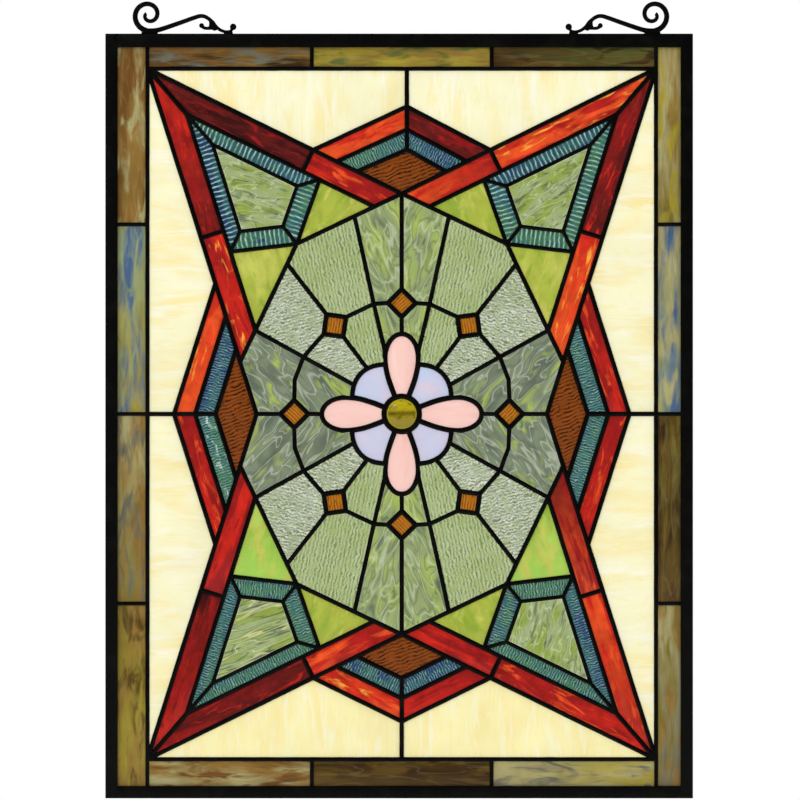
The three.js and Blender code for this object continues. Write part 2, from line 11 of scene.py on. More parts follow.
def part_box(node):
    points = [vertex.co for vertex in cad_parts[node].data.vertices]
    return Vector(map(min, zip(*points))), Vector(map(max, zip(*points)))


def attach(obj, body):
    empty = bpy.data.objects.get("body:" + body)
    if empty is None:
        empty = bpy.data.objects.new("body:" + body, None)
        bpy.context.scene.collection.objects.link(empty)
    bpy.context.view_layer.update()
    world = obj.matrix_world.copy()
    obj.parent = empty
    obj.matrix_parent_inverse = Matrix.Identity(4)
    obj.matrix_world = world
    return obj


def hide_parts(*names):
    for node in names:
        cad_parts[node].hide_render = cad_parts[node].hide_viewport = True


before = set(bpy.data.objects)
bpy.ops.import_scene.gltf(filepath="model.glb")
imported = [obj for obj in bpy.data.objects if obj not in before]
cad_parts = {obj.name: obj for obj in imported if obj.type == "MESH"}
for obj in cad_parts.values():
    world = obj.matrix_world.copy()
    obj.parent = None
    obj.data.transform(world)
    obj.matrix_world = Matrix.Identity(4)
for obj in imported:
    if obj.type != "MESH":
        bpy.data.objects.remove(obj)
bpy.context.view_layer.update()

# Frame channel. Four lengths of U-shaped steel channel, painted black, hold the rim of the
# panel. The stiles run the full height, and the rails stand between them, soldered on.
CHANNEL_ROUNDING = 0.0005
RAIL_TUCK = 0.0009
BLACK = (0.0014, 0.0015, 0.0012, 1)
PAINT_WORN = (0.0036, 0.0036, 0.003, 1)
BLACK_GLOSS = 0.09


def add(tree, kind, inputs=None, **settings):
    made = tree.nodes.new(kind)
    for key, value in settings.items():
        setattr(made, key, value)
    for key, value in (inputs or {}).items():
        if isinstance(value, bpy.types.NodeSocket):
            tree.links.new(value, made.inputs[key])
        else:
            made.inputs[key].default_value = value
    return made


def new_material(name, **values):
    material = bpy.data.materials.new(name)
    material.use_nodes = True
    shader = material.node_tree.nodes["Principled BSDF"]
    for key, value in values.items():
        shader.inputs[key.replace("_", " ")].default_value = value
    return material, material.node_tree, shader


def mixed(tree, factor, a, b, blend="MIX"):
    made = add(tree, "ShaderNodeMix", data_type="RGBA", blend_type=blend)
    for socket, value in ((made.inputs[0], factor), (made.inputs[6], a), (made.inputs[7], b)):
        if isinstance(value, bpy.types.NodeSocket):
            tree.links.new(value, socket)
        else:
            socket.default_value = value
    return made.outputs[2]


def ranged(tree, value, low, high, to_low=0.0, to_high=1.0):
    made = add(tree, "ShaderNodeMapRange", {
        "Value": value, "From Min": low, "From Max": high, "To Min": to_low, "To Max": to_high,
    })
    return made.outputs["Result"]


def maths(tree, operation, a, b=0.0, clamp=False):
    made = add(tree, "ShaderNodeMath", {0: a, 1: b}, operation=operation, use_clamp=clamp)
    return made.outputs[0]


def noise_at(tree, vector, scale=1.0, detail=3.0, roughness=0.5, distortion=0.0):
    return add(tree, "ShaderNodeTexNoise", {
        "Vector": vector, "Scale": scale, "Detail": detail, "Roughness": roughness,
        "Distortion": distortion,
    }).outputs["Fac"]


def black_finish(name, black, worn, grain, relief, roughness):
    """Black on metal: uneven sheen, a fine grain, and paler where it is worn."""
    material, tree, shader = new_material(name, Specular_IOR_Level=BLACK_GLOSS)
    place = add(tree, "ShaderNodeTexCoord").outputs["Object"]
    fine = noise_at(tree, place, 1 / grain, 5.0, 0.6)
    broad = noise_at(tree, place, 0.1 / grain)
    wear = ranged(tree, broad, 0.48, 0.72)
    tree.links.new(mixed(tree, wear, black, worn), shader.inputs["Base Color"])
    tree.links.new(ranged(tree, fine, 0.3, 0.7, roughness - 0.1, roughness + 0.12),
                   shader.inputs["Roughness"])
    bump = add(tree, "ShaderNodeBump", {
        "Height": fine, "Strength": 0.6, "Distance": relief,
    })
    tree.links.new(bump.outputs["Normal"], shader.inputs["Normal"])
    return material


def rounded(bm, edges, offset, segments=3):
    bmesh.ops.bevel(bm, geom=edges, offset=offset, affect="EDGES", segments=segments,
                    profile=0.5, material=-1, clamp_overlap=True)


def finished(piece_name, bm, material, nodes, crease=35):
    mesh = bpy.data.meshes.new(piece_name)
    bm.to_mesh(mesh)
    bm.free()
    mesh.shade_smooth()
    mesh.set_sharp_from_angle(angle=math.radians(crease))
    mesh.materials.append(material)
    piece = bpy.data.objects.new(piece_name, mesh)
    bpy.context.scene.collection.objects.link(piece)
    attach(piece, "root")
    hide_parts(*nodes)
    return piece


channel_paint = black_finish("Channel paint", BLACK, PAINT_WORN, 0.0012, 0.0001, 0.42)
for node in ("frame_left_stile", "frame_right_stile", "frame_top_rail", "frame_bottom_rail"):
    bm = bmesh.new()
    bm.from_mesh(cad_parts[node].data)
    bmesh.ops.remove_doubles(bm, verts=bm.verts[:], dist=0.00001)
    bmesh.ops.dissolve_limit(bm, angle_limit=0.02, verts=bm.verts[:], edges=bm.edges[:])
    if node.endswith("rail"):
        for vert in bm.verts:
            vert.co.x += math.copysign(RAIL_TUCK, vert.co.x)
    rounded(bm, bm.edges[:], CHANNEL_ROUNDING)
    finished(node.replace("frame", "channel"), bm, channel_paint, [node])

# Border strips. Fourteen strips of brown, olive and blue streaky glass frame the panel. They
# reach into the channel, and solder lines part them from each other and from the field.
MM = 0.001
BORDER_LEFT = 23
BORDER_RIGHT = 19
BORDER_TOP = 16.4
BORDER_BOTTOM = 20.6
SIDE_STRIP = 147.6
MIDDLE_STRIP = 140
BORDER_LINE = 3
PATTERN_LINE = 3.5
IN_CHANNEL = 4
GLASS_THICKNESS = 3
GLASS_ROUNDING = 0.3
LEAD_LAP = 0.5
# Width of the pale glow painted along the lead
RIM_GLOW_WIDTH = 2
GLASS_GLOSS = 0.15
# Mask values for the painted pale glow: beside the lead, and within the pane
GLOW_BESIDE_LEAD = (1, 1, 1, 1)
WITHIN_PANE = (0, 0, 0, 1)

lip_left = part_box("frame_left_stile")[1].x / MM
lip_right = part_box("frame_right_stile")[0].x / MM
lip_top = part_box("frame_top_rail")[0].z / MM
lip_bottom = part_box("frame_bottom_rail")[1].z / MM
half_x = (lip_right - BORDER_RIGHT - lip_left - BORDER_LEFT) / 2
half_y = (lip_top - BORDER_TOP - lip_bottom - BORDER_BOTTOM) / 2
middle_x = lip_left + BORDER_LEFT + half_x
middle_z = lip_bottom + BORDER_BOTTOM + half_y

# The pattern is drawn flat in millimetres about the field's middle, then stood up
stand = (
    Matrix.Translation((middle_x * MM, 0, middle_z * MM))
    @ Matrix.Rotation(math.pi / 2, 4, "X")
    @ Matrix.Scale(MM, 4)
)
cells = []


def srgb(red, green, blue):
    linear = [((c / 255 + 0.055) / 1.055) ** 2.4 if c > 10 else c / 255 / 12.92
              for c in (red, green, blue)]
    return (*linear, 1.0)


def noise_field(tree, run, length, width, detail=3.0, distortion=0.4):
    """Soft noise, stretched to one size along a piece's run and another across it."""
    spread = add(tree, "ShaderNodeMapping", {
        "Vector": run, "Scale": (1 / length, 1 / width, 1),
    })
    return noise_at(tree, spread.outputs["Vector"], 1.0, detail, 0.55, distortion)


def poured_glass(name, streak, fleck, mottle, roughness, see_through, detail=3.0):
    """Glass whose body, streak and fleck colours were poured together along its run."""
    material, tree, shader = new_material(
        name, Roughness=roughness, Transmission_Weight=see_through, Specular_IOR_Level=GLASS_GLOSS,
    )
    run = add(tree, "ShaderNodeUVMap", uv_map="Run").outputs["UV"]
    body, veil, spot = (
        add(tree, "ShaderNodeAttribute", attribute_name=kind).outputs["Color"]
        for kind in ("Body", "Streak", "Fleck")
    )
    length, width, low, high = streak
    streaks = ranged(tree, noise_field(tree, run, length, width, detail), low, high)
    length, width, low, high = fleck
    flecks = ranged(tree, noise_field(tree, run, length, width, detail, 0.9), low, high)
    colour = mixed(tree, flecks, mixed(tree, streaks, body, veil), spot)
    size, strength = mottle
    tone = ranged(tree, noise_field(tree, run, size, size), 0.3, 0.7, 1 - strength, 1 + strength)
    toned = add(tree, "ShaderNodeHueSaturation", {"Color": colour, "Value": tone}).outputs[0]
    return material, tree, shader, run, toned


def surfaced(tree, shader, colour, height, relief, rim):
    """Sets a glass's colour with a painted pale glow along its lead lines, and the relief of its
    ripples.
    """
    if rim:
        edge = add(tree, "ShaderNodeAttribute", attribute_name="Rim glow").outputs["Color"]
        colour = mixed(tree, ranged(tree, edge, 0.15, 0.6, 0, rim[1]), colour, rim[0])
    tree.links.new(colour, shader.inputs["Base Color"])
    bump = add(tree, "ShaderNodeBump", {"Height": height, "Strength": 0.5, "Distance": relief})
    tree.links.new(bump.outputs["Normal"], shader.inputs["Normal"])


def veined_glass(name, streak, fleck, mottle, veins, light, dark, roughness, relief,
                 see_through=0.0, rim=None, detail=3.0):
    """Poured glass with light and dark veins, each a level line of one soft noise: in coloured
    glass they are streaks of its own colour, in clear glass painted highlight and shade of its
    ripples.
    """
    material, tree, shader, run, colour = poured_glass(
        name, streak, fleck, mottle, roughness, see_through, detail,
    )
    length, width, line = veins
    waves = noise_field(tree, run, length, width, 1.0, 0.6)
    for level, (shade, amount) in ((0.5, light), (0.42, dark)):
        away = maths(tree, "ABSOLUTE", maths(tree, "SUBTRACT", waves, level))
        colour = mixed(tree, ranged(tree, away, 0, line, amount, 0), colour, shade)
    surfaced(tree, shader, colour, waves, relief, rim)
    return material


def ribbed_glass(name, streak, fleck, mottle, ribs, light, dark, roughness, relief,
                 see_through=0.0, rim=None):
    """Poured glass with wandering ribs across its run, with painted highlights on the crests and
    painted shade in the hollows.
    """
    material, tree, shader, run, colour = poured_glass(
        name, streak, fleck, mottle, roughness, see_through,
    )
    pitch, wander, curl = ribs
    waves = add(tree, "ShaderNodeTexWave", {
        "Vector": run, "Scale": math.pi / (10 * pitch), "Distortion": wander, "Detail": 2.0,
        "Detail Scale": curl, "Detail Roughness": 0.55,
    }, wave_type="BANDS", bands_direction="X").outputs["Fac"]
    # Painted light: the rib highlights and shade come and go in patches over the piece
    shine = ranged(tree, noise_field(tree, run, 3 * pitch, 2 * pitch), 0.35, 0.6, 0.15, 1)
    for low, high, (shade, amount) in ((0.6, 0.1, dark), (0.72, 0.97, light)):
        line = maths(tree, "MULTIPLY", ranged(tree, waves, low, high, 0, amount), shine)
        colour = mixed(tree, line, colour, shade)
    surfaced(tree, shader, colour, waves, relief, rim)
    return material


def thickened(bm, face, thickness):
    """Makes a plate of a flat face, and returns the corners of its upper side."""
    raised = bmesh.ops.extrude_face_region(bm, geom=[face])["geom"]
    corners = [part for part in raised if isinstance(part, BMVert)]
    bmesh.ops.translate(bm, vec=(0, 0, thickness), verts=corners)
    return corners


def cut_glass(name, nodes, finish, outline, run, colours, line=PATTERN_LINE,
              painted_rim_glow=False):
    """One piece of glass, cut to an outline that runs along the middles of its lead lines."""
    cells.append((outline, line))
    bm = bmesh.new()
    uv = bm.loops.layers.uv.new("Run")
    body, veil, spot, rim = (bm.verts.layers.float_color.new(kind)
                             for kind in ("Body", "Streak", "Fleck", "Rim glow"))
    sheet = bm.faces.new([bm.verts.new((x, y, -GLASS_THICKNESS / 2)) for x, y in outline])
    bmesh.ops.inset_individual(bm, faces=[sheet], thickness=line / 2 - LEAD_LAP,
                               use_even_offset=True)
    bmesh.ops.delete(bm, geom=[f for f in bm.faces if f is not sheet], context="FACES")
    thickened(bm, sheet, GLASS_THICKNESS)
    bmesh.ops.recalc_face_normals(bm, faces=bm.faces[:])
    rims = [e for e in bm.edges if abs(e.verts[0].co.z - e.verts[1].co.z) < GLASS_THICKNESS / 2]
    rounded(bm, rims, GLASS_ROUNDING, segments=2)
    panes = sorted(bm.faces, key=lambda face: face.calc_area())[-2:]
    # Some panes get a ring beside the lead, where a pale glow is painted
    if painted_rim_glow:
        bmesh.ops.inset_individual(bm, faces=panes, thickness=RIM_GLOW_WIDTH, use_even_offset=True)
    within = {vert for pane in panes for vert in pane.verts}
    start, end = (Vector(point) for point in run)
    axis = (end - start).normalized()
    side = Vector((-axis.y, axis.x))
    apart = Vector((61.0, 23.0)) * len(cells)
    for face in bm.faces:
        for loop in face.loops:
            place = loop.vert.co.xy - start
            loop[uv].uv = Vector((place.dot(axis), place.dot(side))) + apart
    first, last, second, third = (Vector(colour) for colour in colours)
    for vert in bm.verts:
        share = (vert.co.xy - start).dot(axis) / (end - start).length
        vert[body] = first.lerp(last, min(max(share, 0), 1))
        vert[veil], vert[spot] = second, third
        vert[rim] = GLOW_BESIDE_LEAD if vert not in within else WITHIN_PANE
    bm.transform(stand)
    return finished(name, bm, finish, nodes)


BROWN = srgb(142, 110, 52)
RUSSET = srgb(114, 76, 32)
DARK_BROWN = srgb(60, 42, 20)
UMBER = srgb(94, 72, 28)
OLIVE = srgb(126, 112, 44)
MOSS = srgb(92, 98, 44)
TAN = srgb(168, 160, 110)
STRAW = srgb(162, 146, 48)
SAGE = srgb(142, 152, 108)
SLATE = srgb(72, 100, 134)
PEWTER = srgb(106, 104, 88)
border_finish = veined_glass(
    "Border glass", streak=(60, 11, 0.42, 0.62), fleck=(34, 9, 0.5, 0.64), mottle=(24, 0.14),
    veins=(60, 8, 0.03), light=(TAN, 0.12), dark=(DARK_BROWN, 0.2), roughness=0.2,
    relief=0.0002,
)
rim_left = lip_left - middle_x - IN_CHANNEL
rim_right = lip_right - middle_x + IN_CHANNEL
rim_top = lip_top - middle_z + IN_CHANNEL
rim_bottom = lip_bottom - middle_z - IN_CHANNEL
rows = (rim_top, SIDE_STRIP, 0, -SIDE_STRIP, rim_bottom)
columns = (-half_x, -MIDDLE_STRIP / 2, MIDDLE_STRIP / 2, half_x)
border_colours = {
    "left": (
        (BROWN, BROWN, RUSSET, TAN), (SAGE, STRAW, SLATE, SAGE),
        (TAN, OLIVE, BROWN, PEWTER), (OLIVE, STRAW, BROWN, UMBER),
    ),
    "right": (
        (BROWN, OLIVE, TAN, STRAW), (TAN, SAGE, SLATE, TAN),
        (OLIVE, UMBER, DARK_BROWN, UMBER), (TAN, PEWTER, OLIVE, BROWN),
    ),
    "top": (
        (RUSSET, BROWN, DARK_BROWN, PEWTER), (OLIVE, BROWN, STRAW, MOSS),
        (DARK_BROWN, MOSS, UMBER, DARK_BROWN),
    ),
    "bottom": (
        (BROWN, BROWN, TAN, RUSSET), (UMBER, DARK_BROWN, DARK_BROWN, UMBER),
        (TAN, STRAW, TAN, PEWTER),
    ),
}


def strip(name, number, left, bottom, right, top):
    outline = [(left, bottom), (right, bottom), (right, top), (left, top)]
    upright = name in ("left", "right")
    run = ((left, top), (left, bottom)) if upright else ((left, top), (right, top))
    cut_glass(f"border_strip_{name}_{number + 1}", [f"border_glass_{name}"], border_finish,
              outline, run, border_colours[name][number], BORDER_LINE)


for number in range(4):
    strip("left", number, rim_left, rows[number + 1], -half_x, rows[number])
    strip("right", number, half_x, rows[number + 1], rim_right, rows[number])
for number in range(3):
    strip("top", number, columns[number], half_y, columns[number + 1], rim_top)
    strip("bottom", number, columns[number], rim_bottom, columns[number + 1], -half_y)

# Cream pieces. Eight pieces of cream opalescent glass lie between the border and the star. A
# lead line on each axis of the panel parts them.
ROSETTE_RISE = 0.638
ROSETTE_REACH = 0.57
TOP_DIAMOND = 34.3
TOP_BLUE = 15.6
TOP_RED = 17.9
TOP_SEAM_SHIFT = 4
SIDE_DIAMOND = 32
SIDE_BLUE = 16
SIDE_RED = 16.4


def meet(a, b, c, d):
    """Where the line through a and b meets the line through c and d."""
    u = (b[0] - a[0], b[1] - a[1])
    v = (d[0] - c[0], d[1] - c[1])
    t = ((c[0] - a[0]) * v[1] - (c[1] - a[1]) * v[0]) / (u[0] * v[1] - u[1] * v[0])
    return (a[0] + t * u[0], a[1] + t * u[1])


def across(point):
    return (-point[0], point[1])


def down(point):
    return (point[0], -point[1])


def moved(points, side_x, side_y):
    return [(x * side_x, y * side_y) for x, y in points]


def mirrored(outline, side_x, side_y):
    """An outline moved to another quarter, still drawn the same way round."""
    outline = moved(outline, side_x, side_y)
    return outline[::-1] if side_x * side_y < 0 else outline


def seamed(points):
    """Moves the seam above the rosette off the middle line."""
    return [(TOP_SEAM_SHIFT, y) if x == 0 and y > rosette_top[1] else (x, y) for x, y in points]


tip = (half_x, half_y)
rosette_top = (0, half_y * ROSETTE_RISE)
rosette_side = (half_x * ROSETTE_REACH, 0)
top_apexes = [(0, y) for y in accumulate((rosette_top[1] + TOP_DIAMOND, TOP_BLUE, TOP_RED))]
side_apexes = [(x, 0) for x in accumulate((rosette_side[0] + SIDE_DIAMOND, SIDE_BLUE, SIDE_RED))]
top_ends = [meet(apex, (tip[0], apex[1] - tip[1] + rosette_top[1]), tip, rosette_top)
            for apex in top_apexes]
side_ends = [meet(apex, (apex[0] - tip[0] + rosette_side[0], tip[1]), tip, rosette_side)
             for apex in side_apexes]
QUARTERS = (
    ("upper_right", 1, 1), ("upper_left", -1, 1), ("lower_left", -1, -1), ("lower_right", 1, -1),
)
CREAM = srgb(252, 248, 206)
CREAM_WARM = srgb(254, 244, 180)
CREAM_DEEP = srgb(252, 234, 162)
CREAM_PALE = srgb(254, 252, 226)
cream_finish = veined_glass(
    "Cream glass", streak=(60, 22, 0.46, 0.74), fleck=(60, 10, 0.52, 0.7), mottle=(40, 0.03),
    veins=(60, 6, 0.02), light=(CREAM_PALE, 0.5), dark=(CREAM_DEEP, 0.5), roughness=0.22,
    relief=0.0002,
)
for place, side_x, side_y in QUARTERS:
    above = seamed(mirrored([(0, half_y), top_apexes[2], top_ends[2], tip], side_x, side_y))
    beside = mirrored([tip, side_ends[2], side_apexes[2], (half_x, 0)], side_x, side_y)
    cut_glass(f"cream_long_{place}", ["cream_glass_" + ("top" if side_y > 0 else "bottom")],
              cream_finish, above, ((0, 0), (0, half_y)),
              (CREAM, CREAM, CREAM_DEEP, CREAM_PALE) if side_y > 0
              else (CREAM_WARM, CREAM_WARM, CREAM_DEEP, CREAM))
    cut_glass(f"cream_tall_{place}", ["cream_glass_" + ("right" if side_x > 0 else "left")],
              cream_finish, beside, ((0, 0), (half_x, 0)),
              (CREAM, CREAM, CREAM_DEEP, CREAM_PALE))

# Star arms. Sixteen pieces of streaky red glass make the four arrow-shaped corners of the
# star, a long and a short piece in each arm, with a joint straight across the arm.
ARM_WIDTH = 18.6
SIDE_JOINT_HEIGHT = 137
HIP_HEIGHT = 40.5
SHOULDER_REACH = 0.4126
SHOULDER_RISE = 0.4928
BLOOD = srgb(58, 18, 18)
WINE = srgb(96, 26, 24)
RUBY = srgb(152, 26, 26)
RED = srgb(204, 38, 26)
ORANGE = srgb(234, 82, 34)
FLAME = srgb(250, 164, 62)


def shifted(a, b, distance):
    """The line from a to b, moved to its left."""
    length = math.hypot(b[0] - a[0], b[1] - a[1])
    x = -(b[1] - a[1]) / length * distance
    y = (b[0] - a[0]) / length * distance
    return (a[0] + x, a[1] + y), (b[0] + x, b[1] + y)


def joint_from(outer, a, b, inner_line):
    return meet(outer, (outer[0] - b[1] + a[1], outer[1] + b[0] - a[0]), *inner_line)


shoulder = (half_x * SHOULDER_REACH, half_y * SHOULDER_RISE)
top_inner = shifted(tip, rosette_top, ARM_WIDTH)
side_inner = shifted(tip, rosette_side, -ARM_WIDTH)
hip = meet(tip, rosette_side, (0, HIP_HEIGHT), (half_x, HIP_HEIGHT))
arm_corner = meet(*top_inner, *side_inner)
top_arm_end = meet(*top_inner, rosette_top, shoulder)
side_arm_end = meet(*side_inner, shoulder, hip)
top_joint = joint_from(top_ends[2], tip, rosette_top, top_inner)
side_joint_outer = meet(tip, rosette_side, (0, SIDE_JOINT_HEIGHT), (half_x, SIDE_JOINT_HEIGHT))
side_joint = joint_from(side_joint_outer, tip, rosette_side, side_inner)
arms = {
    "long_top": ([tip, top_ends[2], top_joint, arm_corner], (tip, top_ends[2])),
    "short_top": ([top_ends[2], rosette_top, top_arm_end, top_joint], (top_ends[2], rosette_top)),
    "long_side": ([tip, arm_corner, side_joint, side_joint_outer], (tip, side_joint_outer)),
    "short_side": ([side_joint, side_arm_end, hip, side_joint_outer], (side_joint_outer, hip)),
}
arm_colours = {
    "upper_left": (
        (WINE, WINE, BLOOD, RUBY), (RED, RUBY, RUBY, ORANGE),
        (RED, WINE, RUBY, RED), (RED, RED, RUBY, FLAME),
    ),
    "upper_right": (
        (RUBY, RED, ORANGE, FLAME), (RUBY, ORANGE, RED, RUBY),
        (RUBY, WINE, WINE, RED), (RED, ORANGE, ORANGE, FLAME),
    ),
    "lower_left": (
        (RUBY, WINE, WINE, RED), (RED, RUBY, ORANGE, RUBY),
        (RED, BLOOD, RUBY, WINE), (RUBY, RUBY, RED, RUBY),
    ),
    "lower_right": (
        (RED, RUBY, RUBY, ORANGE), (RUBY, RUBY, RED, RUBY),
        (RUBY, ORANGE, RED, ORANGE), (ORANGE, WINE, RUBY, RUBY),
    ),
}
red_finish = veined_glass(
    "Red glass", streak=(38, 8, 0.45, 0.6), fleck=(24, 5, 0.56, 0.68), mottle=(12, 0.22),
    veins=(26, 4, 0.012), light=(ORANGE, 0.12), dark=(WINE, 0.25), roughness=0.15,
    relief=0.00015,
)
for place, side_x, side_y in QUARTERS:
    for (arm, (outline, run)), colours in zip(arms.items(), arm_colours[place]):
        cut_glass(f"star_arm_{arm}_{place}", [f"red_star_{place}"], red_finish,
                  mirrored(outline, side_x, side_y), moved(run, side_x, side_y), colours)

# Chevrons and diamonds. Eight red and eight blue pieces lie as chevrons over the arms'
# crossings, and each chevron pair shields a diamond of dark amber rippled glass.
BLUE = srgb(36, 72, 112)
TEAL = srgb(54, 106, 112)
SEA = srgb(72, 124, 92)
NIGHT_FLECK_AND_SHADE = srgb(18, 42, 52)
FOAM_FLECK_AND_HIGHLIGHT = srgb(190, 218, 210)
AMBER = srgb(134, 66, 16)
BURNT_FLECK_AND_SHADE = srgb(44, 18, 4)
AMBER_SHINE = srgb(160, 86, 28)
TOP_DIAMOND_LEAN = (-24, 70)
SIDE_DIAMOND_LEAN = (-26, 70)
# The pale crests and dark hollows of the teal and amber ribs are painted highlight and shade; the
# same pale and dark colours also serve as flecks
teal_finish = ribbed_glass(
    "Ribbed teal glass", streak=(30, 12, 0.45, 0.6), fleck=(14, 5, 0.56, 0.7), mottle=(10, 0.15),
    ribs=(3.7, 3.6, 0.9), light=(FOAM_FLECK_AND_HIGHLIGHT, 0.85), dark=(NIGHT_FLECK_AND_SHADE, 0.5), roughness=0.15,
    relief=0.0004,
)
grained_finish = ribbed_glass(
    "Grained teal glass", streak=(24, 9, 0.45, 0.6), fleck=(9, 3, 0.56, 0.7), mottle=(8, 0.15),
    ribs=(2.1, 6.5, 1.5), light=(FOAM_FLECK_AND_HIGHLIGHT, 0.5), dark=(NIGHT_FLECK_AND_SHADE, 0.65), roughness=0.15,
    relief=0.0003,
)
amber_finish = ribbed_glass(
    "Amber glass", streak=(26, 9, 0.45, 0.7), fleck=(12, 4, 0.6, 0.75), mottle=(10, 0.15),
    ribs=(2.8, 6.5, 1.0), light=(AMBER_SHINE, 0.35), dark=(BURNT_FLECK_AND_SHADE, 0.95), roughness=0.15,
    relief=0.0004,
)
chevron_colours = {
    "top": (((RED, RED, ORANGE, ORANGE), (TEAL, SEA, SEA, TEAL)),
            ((WINE, WINE, RUBY, RUBY), (BLUE, BLUE, TEAL, BLUE))),
    "bottom": (((ORANGE, RED, RED, FLAME), (TEAL, SEA, BLUE, TEAL)),
               ((RED, RUBY, RUBY, RED), (BLUE, BLUE, TEAL, BLUE))),
    "left": (((ORANGE, RED, ORANGE, FLAME), (BLUE, BLUE, TEAL, BLUE)),
             ((RUBY, RED, RUBY, ORANGE), (TEAL, SEA, SEA, FOAM_FLECK_AND_HIGHLIGHT))),
    "right": (((RED, RUBY, RUBY, ORANGE), (TEAL, SEA, TEAL, SEA)),
              ((RUBY, RED, RUBY, ORANGE), (SEA, TEAL, TEAL, SEA))),
}


def chevrons(side, hand, side_x, side_y, apexes, ends, looks):
    """Half of a red and half of a blue chevron, from the middle line to the star's arm."""
    for depth, glass, finish, slot, colours in (
        (2, "red", red_finish, "red_glass", looks[0]),
        (1, "blue", grained_finish, "teal_glass", looks[1]),
    ):
        outline = [apexes[depth - 1], ends[depth - 1], ends[depth], apexes[depth]]
        if side in ("left", "right"):
            outline = outline[::-1]
        cut_glass(f"{glass}_chevron_{side}_{hand}_half", [f"{glass}_chevron_{side}"], finish,
                  seamed(mirrored(outline, side_x, side_y)),
                  moved((apexes[depth], ends[depth]), side_x, side_y), colours)


def diamond(side, outline, lean):
    cut_glass(f"diamond_{side}", [f"amber_diamond_{side}"], amber_finish,
              seamed(outline), ((0, 0), lean), (AMBER, AMBER, AMBER, BURNT_FLECK_AND_SHADE))


for side, side_y in (("top", 1), ("bottom", -1)):
    for (hand, side_x), looks in zip((("left", -1), ("right", 1)), chevron_colours[side]):
        chevrons(side, hand, side_x, side_y, top_apexes, top_ends, looks)
    corners = [rosette_top, top_ends[0], top_apexes[0], across(top_ends[0])]
    diamond(side, mirrored(corners, 1, side_y), TOP_DIAMOND_LEAN)
for side, side_x in (("right", 1), ("left", -1)):
    for (hand, side_y), looks in zip((("upper", 1), ("lower", -1)), chevron_colours[side]):
        chevrons(side, hand, side_x, side_y, side_apexes, side_ends, looks)
    corners = [side_apexes[0], side_ends[0], rosette_side, down(side_ends[0])]
    diamond(side, mirrored(corners, side_x, 1), SIDE_DIAMOND_LEAN)

# Corner kites. In each corner of the star four strips of ribbed blue-green glass run round a
# kite of clear wavy glass.
KITE_ALONG_TOP = 0.707
KITE_ALONG_SIDE = 0.635
OUTER_STRIP = 12.1
INNER_STRIP = 14.8
KITE_LINE = 3
# Colours of the clear glass: its body and flecks, the painted highlight and shade of its waves,
# and the painted glow at its rim
CLEAR = srgb(162, 178, 124)
CLEAR_MOSS = srgb(146, 166, 72)
CLEAR_HIGHLIGHT = srgb(208, 218, 178)
CLEAR_DARK_FLECK_AND_SHADE = srgb(96, 110, 82)
CLEAR_RIM_GLOW = srgb(226, 232, 212)
CLEAR_BAND_HIGHLIGHT = srgb(220, 216, 164)


def between(a, b, share):
    return (a[0] + (b[0] - a[0]) * share, a[1] + (b[1] - a[1]) * share)


# The clear glass's pale and dark veins are painted highlight and shade of its waves; its dark
# colour also gives the kite panes their flecks
wavy_finish = veined_glass(
    "Wavy clear glass", streak=(30, 10, 0.44, 0.6), fleck=(17, 5, 0.54, 0.7), mottle=(8, 0.08),
    veins=(20, 6, 0.03), light=(CLEAR_HIGHLIGHT, 0.6), dark=(CLEAR_DARK_FLECK_AND_SHADE, 0.6), roughness=0.08,
    relief=0.0006, see_through=1.0, rim=(CLEAR_RIM_GLOW, 0.9),
)
banded_finish = veined_glass(
    "Banded clear glass", streak=(44, 6, 0.46, 0.56), fleck=(30, 4, 0.52, 0.62),
    mottle=(8, 0.08), veins=(44, 7, 0.025), light=(CLEAR_BAND_HIGHLIGHT, 0.9), dark=(CLEAR_DARK_FLECK_AND_SHADE, 0.8),
    roughness=0.08, relief=0.0006, see_through=1.0, rim=(CLEAR_RIM_GLOW, 0.9),
)
kite_top = between(arm_corner, top_arm_end, KITE_ALONG_TOP)
kite_side = between(arm_corner, side_arm_end, KITE_ALONG_SIDE)
kite = [arm_corner, kite_top, shoulder, kite_side]
strip_widths = (OUTER_STRIP, INNER_STRIP, INNER_STRIP, OUTER_STRIP)
inner_sides = [shifted(kite[k], kite[(k + 1) % 4], strip_widths[k]) for k in range(4)]
kite_middle = [meet(*inner_sides[k - 1], *inner_sides[k]) for k in range(4)]
strip_names = ("top", "inner_top", "inner_side", "side")
strip_colours = {
    "upper_left": ((SEA, BLUE, TEAL, SEA), (SEA, SEA, TEAL, TEAL),
                   (SEA, SEA, TEAL, BLUE), (BLUE, BLUE, TEAL, NIGHT_FLECK_AND_SHADE)),
    "upper_right": ((SEA, BLUE, TEAL, BLUE), (SEA, SEA, TEAL, TEAL),
                    (SEA, SEA, SEA, TEAL), (SEA, TEAL, SEA, TEAL)),
    "lower_left": ((TEAL, SEA, SEA, TEAL), (SEA, TEAL, SEA, SEA),
                   (SEA, SEA, TEAL, SEA), (TEAL, SEA, TEAL, NIGHT_FLECK_AND_SHADE)),
    "lower_right": ((TEAL, SEA, SEA, TEAL), (SEA, SEA, TEAL, TEAL),
                    (SEA, SEA, SEA, TEAL), (TEAL, TEAL, BLUE, SEA)),
}
pane_runs = {
    "upper_left": (70, -14), "upper_right": (60, 36),
    "lower_left": (60, 20), "lower_right": (16, 60),
}
